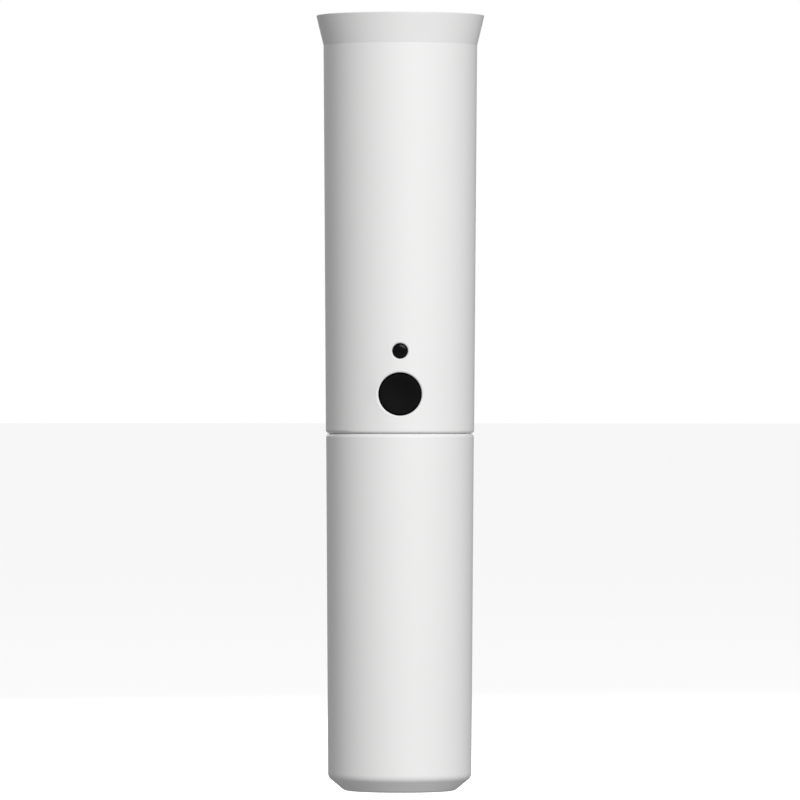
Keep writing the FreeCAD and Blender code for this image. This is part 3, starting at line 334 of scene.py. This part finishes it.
def ribbon_film():
    """Amber polyimide film with the copper lines of a flat cable showing through."""
    material, tree, shader = new_material("ribbon_film", Coat_Weight=0.4, Coat_Roughness=0.1)
    place = object_place(tree)
    across = add(tree, "ShaderNodeSeparateXYZ", {0: place}).outputs[0]
    phase = calc(tree, "ABSOLUTE", calc(tree, "SINE", calc(tree, "MULTIPLY", across, math.pi / 0.0008)))
    line = spread(tree, phase, 0.0, 1.0, 0.55, 0.7)
    stain = noise(tree, place, 300.0, 3.0, 0.6)
    film = blend_colour(tree, stain, rgb(0.42, 0.17, 0.03), rgb(0.52, 0.23, 0.05))
    colour = blend_colour(tree, calc(tree, "MULTIPLY", line, 0.8), film, rgb(0.25, 0.09, 0.02))
    marks = use_group(tree, MARKS, Roughness=0.25, Smudge=0.15, Scratch=0.2)
    feed(tree, shader, line, 0.3, 0.00003, Base_Color=colour, Roughness=marks["Roughness"])
    return material


def foam():
    """Closed-cell foam: packed small bubbles, with painted shade darkening their pits."""
    material, tree, shader = new_material("cup_foam")
    place = object_place(tree)
    bubbles = add(tree, "ShaderNodeTexVoronoi", {"Vector": place, "Scale": 2600.0}).outputs["Distance"]
    pit_depth_and_shade = spread(tree, bubbles, 0.0, 1.0, 0.0, 0.45)
    # painted shade: the colour runs darker towards each bubble's pit, from the same mask that drives the bump
    # height
    colour = blend_colour(tree, pit_depth_and_shade, rgb(0.018, 0.018, 0.02), rgb(0.075, 0.075, 0.08))
    cloud = noise(tree, place, 400.0, 3.0, 0.6)
    rough = spread(tree, cloud, 0.75, 0.95)
    feed(tree, shader, pit_depth_and_shade, 0.6, 0.00012, Base_Color=colour, Roughness=rough)
    return material


def smoked(name, colour, roughness):
    """Polished smoked plastic with a faint orange-peel and handling marks."""
    material, tree, shader = new_material(name, IOR=1.49, Specular_IOR_Level=0.1)
    skin = use_group(tree, GRAIN, Color=colour, Mottle=0.15, Grain_Size=0.0008, Roughness=roughness,
                     Gloss_Spread=0.04)
    marks = use_group(tree, MARKS, Roughness=skin["Roughness"], Smudge=0.08, Scratch=0.15)
    feed(tree, shader, skin["Height"], 0.02, Base_Color=skin["Color"], Roughness=marks["Roughness"])
    return material


def label_film():
    """A blank matte label: paper fibre and slightly yellowed edges."""
    material, tree, shader = new_material("label_paper")
    place = object_place(tree)
    fibre = noise(tree, place, 1900.0, 4.0, 0.7)
    colour = blend_colour(tree, fibre, rgb(0.60, 0.60, 0.58), rgb(0.68, 0.68, 0.665))
    rubbed = use_group(tree, WEAR, Color=colour, Worn_Color=rgb(0.5, 0.48, 0.42), Width=0.0003, Amount=0.5)
    marks = use_group(tree, MARKS, Roughness=0.62, Smudge=0.1, Scratch=0.1)
    feed(tree, shader, fibre, 0.15, 0.00003, Base_Color=rubbed["Color"], Roughness=marks["Roughness"])
    return material


def ceramic_parts():
    """Small fired parts: tan and grey bodies by place, with paler flecks."""
    material, tree, shader = new_material("component_ceramic")
    place = object_place(tree)
    cells = add(tree, "ShaderNodeTexVoronoi", {"Vector": place, "Scale": 210.0}).outputs["Color"]
    pick = add(tree, "ShaderNodeSeparateColor", {0: cells}).outputs[0]
    body = blend_colour(tree, spread(tree, pick, 0.0, 1.0, 0.45, 0.55), rgb(0.30, 0.22, 0.15),
                        rgb(0.10, 0.10, 0.11))
    speck = noise(tree, place, 2500.0, 3.0, 0.6)
    colour = blend_colour(tree, spread(tree, speck, 0.0, 0.5, 0.4, 0.7), body, rgb(0.42, 0.36, 0.28))
    rubbed = use_group(tree, WEAR, Color=colour, Worn_Color=rgb(0.55, 0.53, 0.5), Width=0.0002, Amount=0.8)
    marks = use_group(tree, MARKS, Roughness=0.42, Smudge=0.1, Scratch=0.1)
    feed(tree, shader, speck, 0.2, 0.00003, Base_Color=rubbed["Color"], Roughness=marks["Roughness"])
    return material


FINISHES = {
    "white_shell": moulded("white_shell", rgb(0.80, 0.80, 0.797), rgb(0.86, 0.86, 0.855), roughness=0.52,
                           grain=0.00022, mottle=0.02, smudge=0.06, scratch=0.08, wear=0.4, bump=0.05,
                           Specular_IOR_Level=0.3),
    "cup_foam": foam(),
    "seal_rubber": moulded("seal_rubber", rgb(0.014, 0.014, 0.015), rgb(0.05, 0.05, 0.05), roughness=0.5,
                           grain=0.00012, mottle=0.2, smudge=0.2, wear=0.2),
    "frame_plastic": moulded("frame_plastic", rgb(0.020, 0.020, 0.022), rgb(0.075, 0.075, 0.078), roughness=0.5,
                             grain=0.00018, mottle=0.15, smudge=0.1, scratch=0.15, wear=0.6, bump=0.3),
    "neck_metal": turned("neck_metal", rgb(0.022, 0.022, 0.024), rgb(0.30, 0.29, 0.27), roughness=0.42,
                         Metallic=0.6),
    "ring_metal": turned("ring_metal", rgb(0.58, 0.585, 0.59), rgb(0.75, 0.75, 0.75), roughness=0.28,
                         Metallic=1.0),
    "button_black": moulded("button_black", rgb(0.004, 0.004, 0.0045), rgb(0.012, 0.012, 0.012), roughness=0.62,
                            grain=0.0002, mottle=0.2, smudge=0.06, wear=0.25, Specular_IOR_Level=0.05),
    "button_grey": moulded("button_grey", rgb(0.24, 0.245, 0.25), rgb(0.36, 0.36, 0.36), roughness=0.6,
                           grain=0.00015, mottle=0.08, wear=0.5, bump=0.2),
    "smoked_lens": smoked("smoked_lens", rgb(0.004, 0.004, 0.005), 0.12),
    "display_grey": moulded("display_grey", rgb(0.16, 0.16, 0.165), rgb(0.3, 0.3, 0.3), roughness=0.45),
    "board_mask": solder_mask(),
    "shield_tin": plated("shield_tin", rgb(0.60, 0.605, 0.61), rgb(0.8, 0.8, 0.8), roughness=0.36),
    "chip_black": moulded("chip_black", rgb(0.016, 0.016, 0.018), rgb(0.07, 0.07, 0.07), roughness=0.55,
                          grain=0.0001, bump=0.25),
    "component_ceramic": ceramic_parts(),
    "led_body": moulded("led_body", rgb(0.72, 0.72, 0.64), rgb(0.8, 0.8, 0.76), roughness=0.2, bump=0.02),
    "switch_black": moulded("switch_black", rgb(0.026, 0.026, 0.028), rgb(0.09, 0.09, 0.09), roughness=0.46,
                            grain=0.00014, bump=0.2),
    "knob_white": moulded("knob_white", rgb(0.66, 0.66, 0.64), rgb(0.78, 0.78, 0.76), roughness=0.45),
    "contact_gold": plated("contact_gold", rgb(0.80, 0.56, 0.22), rgb(0.92, 0.74, 0.42), roughness=0.2),
    "contact_nickel": plated("contact_nickel", rgb(0.60, 0.585, 0.55), rgb(0.78, 0.77, 0.74), roughness=0.26),
    "screw_steel": plated("screw_steel", rgb(0.30, 0.30, 0.31), rgb(0.6, 0.6, 0.6), roughness=0.35),
    "cell_can": cell_film(),
    "wire_red": moulded("wire_red", rgb(0.42, 0.012, 0.012), rgb(0.5, 0.05, 0.05), roughness=0.45, mottle=0.12),
    "wire_black": moulded("wire_black", rgb(0.015, 0.015, 0.016), rgb(0.06, 0.06, 0.06), roughness=0.45,
                          mottle=0.2),
    "ribbon_film": ribbon_film(),
    "antenna_copper": plated("antenna_copper", rgb(0.62, 0.29, 0.16), rgb(0.85, 0.52, 0.36), roughness=0.3,
                             mottle=0.25),
    "label_paper": label_film(),
}
SLOT_OF = {part["node"]: part["material_slot"] for part in frame["record"]["subparts"]}
for node, thing in frame["nodes"].items():
    thing.data.materials[0] = FINISHES[SLOT_OF[node]]


# ---------------------------------------------------------------- making pieces

def rounded_corners(points, radius, steps=5):
    """Replace each inner corner of an open line of (across, along) points with an arc."""
    softened = [points[0]]
    for before, corner, after in zip(points, points[1:], points[2:]):
        here = Vector(corner)
        back, on = Vector(before) - here, Vector(after) - here
        turn = math.pi - back.angle(on)
        if turn < 0.05:
            softened.append(tuple(corner))
            continue
        reach = min(radius * math.tan(turn / 2), 0.45 * back.length, 0.45 * on.length)
        real = reach / math.tan(turn / 2)
        start, end = here + back.normalized() * reach, here + on.normalized() * reach
        centre = here + (back.normalized() + on.normalized()).normalized() * (real / math.cos(turn / 2))
        first, last = start - centre, end - centre
        for step in range(steps + 1):
            share = step / steps
            arm = first * (1 - share) + last * share
            softened.append(tuple(centre + arm.normalized() * real))
    softened.append(points[-1])
    return softened


def finish_piece(name, form, slot, body, *nodes):
    """Make an object of a bmesh: its material, the body it rides on and the nodes it stands for."""
    mesh = bpy.data.meshes.new(name)
    bmesh.ops.recalc_face_normals(form, faces=form.faces)
    form.to_mesh(mesh)
    form.free()
    mesh.shade_smooth()
    mesh.set_sharp_from_angle(angle=math.radians(32))
    mesh.materials.append(FINISHES[slot])
    piece = bpy.data.objects.new(name, mesh)
    bpy.context.scene.collection.objects.link(piece)
    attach(piece, body)
    if nodes:
        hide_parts(*nodes)
    return piece


UPRIGHT = Matrix.Identity(4)
FACING_FRONT = Matrix.Rotation(math.radians(90), 4, "X")


def lathe(name, profile, slot, body, *nodes, centre=(0, 0, 0), facing=UPRIGHT, turns=96):
    """Turn a closed profile of (radius, height) points about an axis through the centre."""
    form = bmesh.new()
    rings = []
    for radius, height in profile:
        if radius < 1e-7:
            rings.append([form.verts.new((0, 0, height))])
            continue
        rings.append([form.verts.new((radius * math.cos(angle), radius * math.sin(angle), height))
                      for angle in (2 * math.pi * turn / turns for turn in range(turns))])
    pairs = list(zip(rings, rings[1:]))
    if len(rings[0]) > 1:
        pairs.append((rings[-1], rings[0]))
    for low, high in pairs:
        for turn in range(turns):
            after = (turn + 1) % turns
            if len(low) == 1 and len(high) == 1:
                break
            if len(low) == 1:
                form.faces.new((low[0], high[after], high[turn]))
            elif len(high) == 1:
                form.faces.new((low[turn], low[after], high[0]))
            else:
                form.faces.new((low[turn], low[after], high[after], high[turn]))
    form.transform(Matrix.Translation(centre) @ facing)
    return finish_piece(name, form, slot, body, *nodes)


def tube_along(form, path, radius, sides=14):
    """Add a closed round tube along a line of points to the bmesh."""
    points = [Vector(point) for point in path]
    ahead = [(points[min(place + 1, len(points) - 1)] - points[max(place - 1, 0)]).normalized()
             for place in range(len(points))]
    across = ahead[0].orthogonal().normalized()
    rings = []
    for point, direction in zip(points, ahead):
        across = (across - direction * across.dot(direction)).normalized()
        up = direction.cross(across)
        rings.append([form.verts.new(point + (across * math.cos(angle) + up * math.sin(angle)) * radius)
                      for angle in (2 * math.pi * side / sides for side in range(sides))])
    for low, high in zip(rings, rings[1:]):
        for side in range(sides):
            after = (side + 1) % sides
            form.faces.new((low[side], low[after], high[after], high[side]))
    for ring, point, way in ((rings[0], points[0] - ahead[0] * radius * 0.4, -1),
                             (rings[-1], points[-1] + ahead[-1] * radius * 0.4, 1)):
        tip = form.verts.new(point)
        for side in range(sides):
            after = (side + 1) % sides
            form.faces.new((ring[side], ring[after], tip) if way > 0 else (ring[after], ring[side], tip))


def slab(form, low, high, bevel=0.0, segments=2):
    """Add a block with rounded edges to the bmesh."""
    made = bmesh.ops.create_cube(form, size=1.0)["verts"]
    size = Vector(high) - Vector(low)
    middle = (Vector(high) + Vector(low)) / 2
    for vertex in made:
        vertex.co = Vector(a * b for a, b in zip(vertex.co, size)) + middle
    if bevel > 0:
        edges = list({edge for vertex in made for edge in vertex.link_edges})
        bmesh.ops.bevel(form, geom=edges, offset=bevel, segments=segments, profile=0.5, affect="EDGES")


# ---------------------------------------------------------------- power button and status light

def power_button():
    """The black cap: a soft rim round a shallow dish, and the flange that holds it in."""
    low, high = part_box("power_button")
    height = (low.z + high.z) / 2
    face, back, flange_radius = -low.y, -high.y, (high.x - low.x) / 2
    cap, hub, flange_face = 4.5 * MM, 2.4 * MM, 13.6 * MM
    profile = [(0, back), (hub, back), (hub, flange_face - MM), (flange_radius, flange_face - MM),
               (flange_radius, flange_face), (cap, flange_face), (cap, face), (cap - 0.55 * MM, face)]
    profile = rounded_corners(profile, 0.32 * MM, 6)
    depth = 0.34 * MM
    for step in range(1, 13):
        out = 1 - step / 12
        profile.append(((cap - 0.55 * MM) * out, face - depth * (1 - out * out) ** 1.4))
    return lathe("power_button_cap", profile, "button_black", "power_button", "power_button",
                 centre=(0, 0, height), facing=FACING_FRONT)


def status_light():
    """The smoked light pipe: a low dome with a rounded edge, and its collar behind the tube's wall."""
    low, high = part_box("status_light_lens")
    dome, back, collar = -low.y, -high.y, (high.x - low.x) / 2
    pipe, stem, collar_back, collar_front = 1.55 * MM, 1.35 * MM, 13.1 * MM, 13.9 * MM
    profile = rounded_corners([
        (0, back), (stem, back), (stem, collar_back), (collar, collar_back), (collar, collar_front),
        (pipe, collar_front), (pipe, dome - 0.1 * MM), (pipe - 0.5 * MM, dome - 0.04 * MM)], 0.28 * MM, 6)
    edge_radius, edge_height = profile[-1]
    for step in range(1, 9):
        out = 1 - step / 8
        profile.append((edge_radius * out, dome - (dome - edge_height) * out * out))
    return lathe("status_light_dome", profile, "smoked_lens", "handle", "status_light_lens",
                 centre=(0, 0, (low.z + high.z) / 2), facing=FACING_FRONT)


# ---------------------------------------------------------------- control panel buttons

def panel_button(node):
    """A small grey button with a rounded edge and a shallow dish for a fingertip."""
    low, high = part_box(node)
    face, back, flange = -low.y, -high.y, (high.x - low.x) / 2
    cap, flange_face = 1.75 * MM, back + 0.6 * MM
    profile = rounded_corners([(0, back), (flange, back), (flange, flange_face), (cap, flange_face),
                               (cap, face), (cap - 0.5 * MM, face)], 0.22 * MM, 5)
    for step in range(1, 9):
        out = 1 - step / 8
        profile.append(((cap - 0.5 * MM) * out, face - 0.14 * MM * (1 - out * out)))
    return lathe(f"{node}_cap", profile, "button_grey", node, node, turns=64, facing=FACING_FRONT,
                 centre=((low.x + high.x) / 2, 0, (low.z + high.z) / 2))


# ---------------------------------------------------------------- cells, springs, pad and seal

def cell(node, number, cap_up):
    """A cell: a metal can with a dimpled foot and a stepped cap, under a shrunk film."""
    low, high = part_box(node)
    radius, length, cap_height = (high.x - low.x) / 2, high.z - low.z, 1.0 * MM
    top = length - cap_height
    centre = ((low.x + high.x) / 2, (low.y + high.y) / 2, low.z if cap_up else high.z)
    facing = UPRIGHT if cap_up else Matrix.Rotation(math.pi, 4, "X")
    film = 0.13 * MM
    lip = radius - 1.3 * MM
    sleeve = rounded_corners([
        (lip, 0.16 * MM), (lip, 0), (radius, 0), (radius, top), (lip, top), (lip, top - 0.16 * MM),
        (radius - film, top - 0.16 * MM), (radius - film, 0.16 * MM), (lip, 0.16 * MM)], 0.45 * MM, 6)
    lathe(f"cell_{number}_film", sleeve[:-1], "cell_can", "handle", node, centre=centre, facing=facing)
    inner = radius - film - 0.02 * MM
    can = rounded_corners([
        (0, 0.35 * MM), (3.0 * MM, 0.35 * MM), (3.6 * MM, 0.06 * MM), (4.6 * MM, 0.06 * MM),
        (5.0 * MM, 0.2 * MM), (inner, 0.2 * MM), (inner, top - 2.2 * MM), (inner - 0.18 * MM, top - 1.9 * MM),
        (inner, top - 1.6 * MM), (inner, top - 0.2 * MM), (5.0 * MM, top - 0.2 * MM),
        (4.7 * MM, top - 0.55 * MM), (3.7 * MM, top - 0.55 * MM), (3.4 * MM, top - 0.05 * MM),
        (2.75 * MM, top - 0.05 * MM), (2.7 * MM, length), (0, length)], 0.2 * MM, 4)
    lathe(f"cell_{number}_can", can, "contact_nickel", "handle", node, centre=centre, facing=facing)
    washer = rounded_corners([
        (3.75 * MM, top - 0.5 * MM), (4.75 * MM, top - 0.5 * MM), (4.95 * MM, top - 0.18 * MM),
        (3.6 * MM, top - 0.18 * MM)], 0.08 * MM, 3)
    lathe(f"cell_{number}_washer", washer, "switch_black", "handle", node, centre=centre, facing=facing)


def cell_spring(node, wide_end_down):
    """A conical spring of round wire with a closed turn at each end."""
    low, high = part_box(node)
    middle_x, middle_y = (low.x + high.x) / 2, (low.y + high.y) / 2
    wire, wide, narrow = 0.35 * MM, 3.4 * MM, 2.2 * MM
    turns, steps = 4.6, 230
    path = []
    for step in range(steps + 1):
        share = step / steps
        angle = 2 * math.pi * turns * share
        rise = min(max((share - 0.2) / 0.6, 0.0), 1.0)
        ease = rise * rise * (3 - 2 * rise)
        radius = wide + (narrow - wide) * (0.15 * share + 0.85 * ease)
        height = low.z + wire + (high.z - low.z - 2 * wire) * ease
        if not wide_end_down:
            height = low.z + high.z - height
        path.append((middle_x + radius * math.cos(angle), middle_y + radius * math.sin(angle), height))
    form = bmesh.new()
    tube_along(form, path, wire)
    return finish_piece(f"{node}_wire", form, "contact_nickel", "handle", node)


def foam_pad():
    """The pad in the cup's floor, crowned and pulled in at its rim."""
    low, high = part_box("cup_foam_pad")
    radius, floor, thickness = (high.x - low.x) / 2, low.z, high.z - low.z
    profile = [(0, floor), (radius - 0.5 * MM, floor)]
    for step in range(9):
        angle = math.radians(-80 + 160 * step / 8)
        profile.append((radius - 0.35 * MM + 0.35 * MM * math.cos(angle),
                        floor + thickness * (0.42 + 0.4 * math.sin(angle))))
    for step in range(1, 13):
        out = 1 - step / 12
        profile.append(((radius - 0.4 * MM) * out, floor + thickness * (1 - 0.16 * out ** 3)))
    piece = lathe("cup_pad", profile, "cup_foam", "battery_cup", "cup_foam_pad")
    return piece


def seal():
    """The rubber ring in the collar's groove, with its fine moulding line."""
    low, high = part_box("seal_ring")
    section = (high.z - low.z) / 2
    centre, middle = high.x - section, (low.z + high.z) / 2
    profile = []
    for step in range(40):
        angle = 2 * math.pi * step / 40
        bulge = 1.035 if step in (0, 20) else 1.0
        profile.append((centre + section * 0.96 * bulge * math.cos(angle), middle + section * math.sin(angle)))
    return lathe("collar_seal", profile, "seal_rubber", "seal_ring", "seal_ring", turns=160)


# ---------------------------------------------------------------- the round board in the mouth

def gain_switch_cover():
    """A folded tin cover over the slide switch, open over the knob's slot."""
    low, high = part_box("gain_switch")
    knob_low, knob_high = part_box("gain_slider")
    sheet, reach = 0.2 * MM, 1.3 * MM
    form = bmesh.new()
    top, lift = high.z, 0.01 * MM
    slot_low, slot_high = knob_low.y - 0.12 * MM, knob_high.y + 0.12 * MM
    left, right = knob_low.x - 0.25 * MM, knob_high.x + 2.25 * MM
    for corner, far in (
            ((low.x, low.y - sheet, top + lift), (high.x, slot_low, top + lift + sheet)),
            ((low.x, slot_high, top + lift), (high.x, high.y + sheet, top + lift + sheet)),
            ((low.x, slot_low, top + lift), (left, slot_high, top + lift + sheet)),
            ((right, slot_low, top + lift), (high.x, slot_high, top + lift + sheet)),
            ((low.x + 0.3 * MM, low.y - sheet, top - 2.2 * MM), (high.x - 0.3 * MM, low.y, top + sheet)),
            ((low.x + 0.3 * MM, high.y, top - 2.2 * MM), (high.x - 0.3 * MM, high.y + sheet, top + sheet)),
            ((-reach / 2, low.y - sheet, low.z + 0.02 * MM), (reach / 2, low.y, top - 2.1 * MM)),
            ((-reach / 2, high.y, low.z + 0.02 * MM), (reach / 2, high.y + sheet, top - 2.1 * MM))):
        slab(form, corner, far, 0.05 * MM)
    return finish_piece("gain_switch_cover", form, "shield_tin", "handle")


def gain_knob():
    """The slide switch's knob, with grip ridges across its top."""
    low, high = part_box("gain_slider")
    form = bmesh.new()
    slab(form, low, (high.x, high.y, high.z - 0.25 * MM), 0.12 * MM)
    ridges = 4
    pitch = (high.x - low.x) / ridges
    for ridge in range(ridges):
        start = low.x + pitch * (ridge + 0.2)
        slab(form, (start, low.y + 0.06 * MM, high.z - 0.4 * MM),
             (start + 0.6 * pitch, high.y - 0.06 * MM, high.z), 0.08 * MM)
    return finish_piece("gain_knob", form, "knob_white", "gain_slider", "gain_slider")


def board_part(form, across, along, foot, size, bevel):
    """Add a block of (width, length, height) that stands on the round board, centred at (across, along)."""
    width, length, height = size
    slab(form, (across - width / 2, along - length / 2, foot),
         (across + width / 2, along + length / 2, foot + height),
         bevel)


def mouth_board_parts():
    """Small parts, gold pads and solder on the round board under the mouth."""
    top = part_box("head_board")[1].z
    chips, pads, tins = bmesh.new(), bmesh.new(), bmesh.new()
    for side in (-1, 1):
        for row in range(4):
            x, y = side * 7.4 * MM, (-3.6 + 2.2 * row) * MM
            board_part(chips, x, y, top + 0.02 * MM, (0.7 * MM, 0.8 * MM, 0.48 * MM), 0.05 * MM)
            for end in (-1, 1):
                board_part(tins, x, y + end * 0.5 * MM, top, (0.76 * MM, 0.32 * MM, 0.42 * MM), 0.1 * MM)
    board_part(chips, 0, -6.6 * MM, top + 0.05 * MM, (3.2 * MM, 2.6 * MM, 0.33 * MM), 0.08 * MM)
    for place in range(5):
        for y in (-8.35 * MM, -4.85 * MM):
            board_part(tins, (-1.3 + 0.65 * place) * MM, y, top, (0.26 * MM, 0.7 * MM, 0.16 * MM), 0.04 * MM)
    for place in range(6):
        angle = math.radians(195 + 30 * place)
        x, y = 9.3 * MM * math.cos(angle), 9.3 * MM * math.sin(angle)
        board_part(pads, x, y, top, (0.84 * MM, 0.84 * MM, 0.04 * MM), 0.015 * MM)
    for place in (-1, 0, 1):
        board_part(tins, place * 3.6 * MM, -3.825 * MM, top, (0.7 * MM, 0.65 * MM, 0.3 * MM), 0.12 * MM)
    finish_piece("mouth_board_chips", chips, "chip_black", "handle")
    finish_piece("mouth_board_pads", pads, "contact_gold", "handle")
    finish_piece("mouth_board_solder", tins, "contact_nickel", "handle")


power_button()
status_light()
panel_button("group_button")
panel_button("channel_button")
cell("battery_1", 1, cap_up=True)
cell("battery_2", 2, cap_up=False)
cell_spring("cell_spring_lower", wide_end_down=True)
cell_spring("cell_spring_upper", wide_end_down=False)
foam_pad()
seal()
gain_switch_cover()
gain_knob()
mouth_board_parts()


# ---------------------------------------------------------------- stage, light and camera

def floor_finish():
    """Pale to the eye, a mid grey to light by, and clear from underneath."""
    material, tree, shader = new_material("studio_floor", Roughness=0.9, Emission_Color=rgb(1, 1, 1))
    seen = add(tree, "ShaderNodeLightPath").outputs["Is Camera Ray"]
    speck = spread(tree, noise(tree, object_place(tree), 8.0, 2.0), 0.97, 1.0)
    grey = add(tree, "ShaderNodeCombineColor", {0: speck, 1: speck, 2: speck}).outputs[0]
    pale = blend_colour(tree, 1.0, rgb(0.9, 0.9, 0.9), grey, "MULTIPLY")
    colour = blend_colour(tree, seen, rgb(0.35, 0.35, 0.35), pale)
    feed(tree, shader, Base_Color=colour, Emission_Strength=calc(tree, "MULTIPLY", seen, 0.7))
    underneath = add(tree, "ShaderNodeNewGeometry").outputs["Backfacing"]
    clear = add(tree, "ShaderNodeBsdfTransparent").outputs[0]
    mixed = add(tree, "ShaderNodeMixShader", {0: underneath, 1: shader.outputs[0], 2: clear}).outputs[0]
    tree.links.new(mixed, tree.nodes["Material Output"].inputs["Surface"])
    return material


def stage():
    """A plain floor, low enough to clear the battery cup when it is pulled off."""
    size, height = 60.0, -0.09
    mesh = bpy.data.meshes.new("studio_floor")
    corners = [(x * size, y * size, height) for x, y in ((-1, -1), (1, -1), (1, 1), (-1, 1))]
    mesh.from_pydata(corners, [], [(0, 1, 2, 3)])
    mesh.materials.append(floor_finish())
    floor = bpy.data.objects.new("studio_floor", mesh)
    bpy.context.scene.collection.objects.link(floor)


def world(ambient):
    """A white studio to the eye, and an even softer grey to light by."""
    surroundings = bpy.data.worlds.new("studio")
    bpy.context.scene.world = surroundings
    surroundings.use_nodes = True
    tree = surroundings.node_tree
    seen = add(tree, "ShaderNodeLightPath").outputs["Is Camera Ray"]
    strength = spread(tree, seen, ambient, 1.0)
    background = tree.nodes["Background"]
    background.inputs["Color"].default_value = rgb(1, 1, 1)
    tree.links.new(strength, background.inputs["Strength"])


def soft_box(name, azimuth, elevation, distance, size, power):
    """A square soft light aimed at the tube's middle; azimuth 0 is in front and 90 to the right."""
    target = Vector((0, 0, cad_high.z / 2))
    turn, rise = math.radians(azimuth), math.radians(elevation)
    out = Vector((math.sin(turn) * math.cos(rise), -math.cos(turn) * math.cos(rise), math.sin(rise)))
    light = bpy.data.lights.new(name, "AREA")
    light.shape = "SQUARE"
    light.size = size
    light.energy = power
    lamp = bpy.data.objects.new(name, light)
    lamp.location = target + out * distance
    lamp.rotation_mode = "QUATERNION"
    lamp.rotation_quaternion = out.to_track_quat("Z", "Y")
    bpy.context.scene.collection.objects.link(lamp)


def camera():
    """A long lens, level with the middle of the tube, straight in front."""
    eye_height, distance, lens = 0.0859, 1.804, 369.0
    data = bpy.data.cameras.new("studio_camera")
    data.lens = lens
    data.sensor_width = 36.0
    data.clip_start, data.clip_end = 0.05, 200.0
    eye = bpy.data.objects.new("studio_camera", data)
    eye.location = (0, -distance, eye_height)
    eye.rotation_euler = (math.radians(90), math.radians(-0.05), 0)
    bpy.context.scene.collection.objects.link(eye)
    bpy.context.scene.camera = eye


bpy.context.scene.view_settings.view_transform = "Standard"
stage()
world(0.25)
soft_box("key_light", 17, 25, 2.6, 1.5, 62)
soft_box("back_light", 200, 25, 2.6, 1.5, 30)
camera()
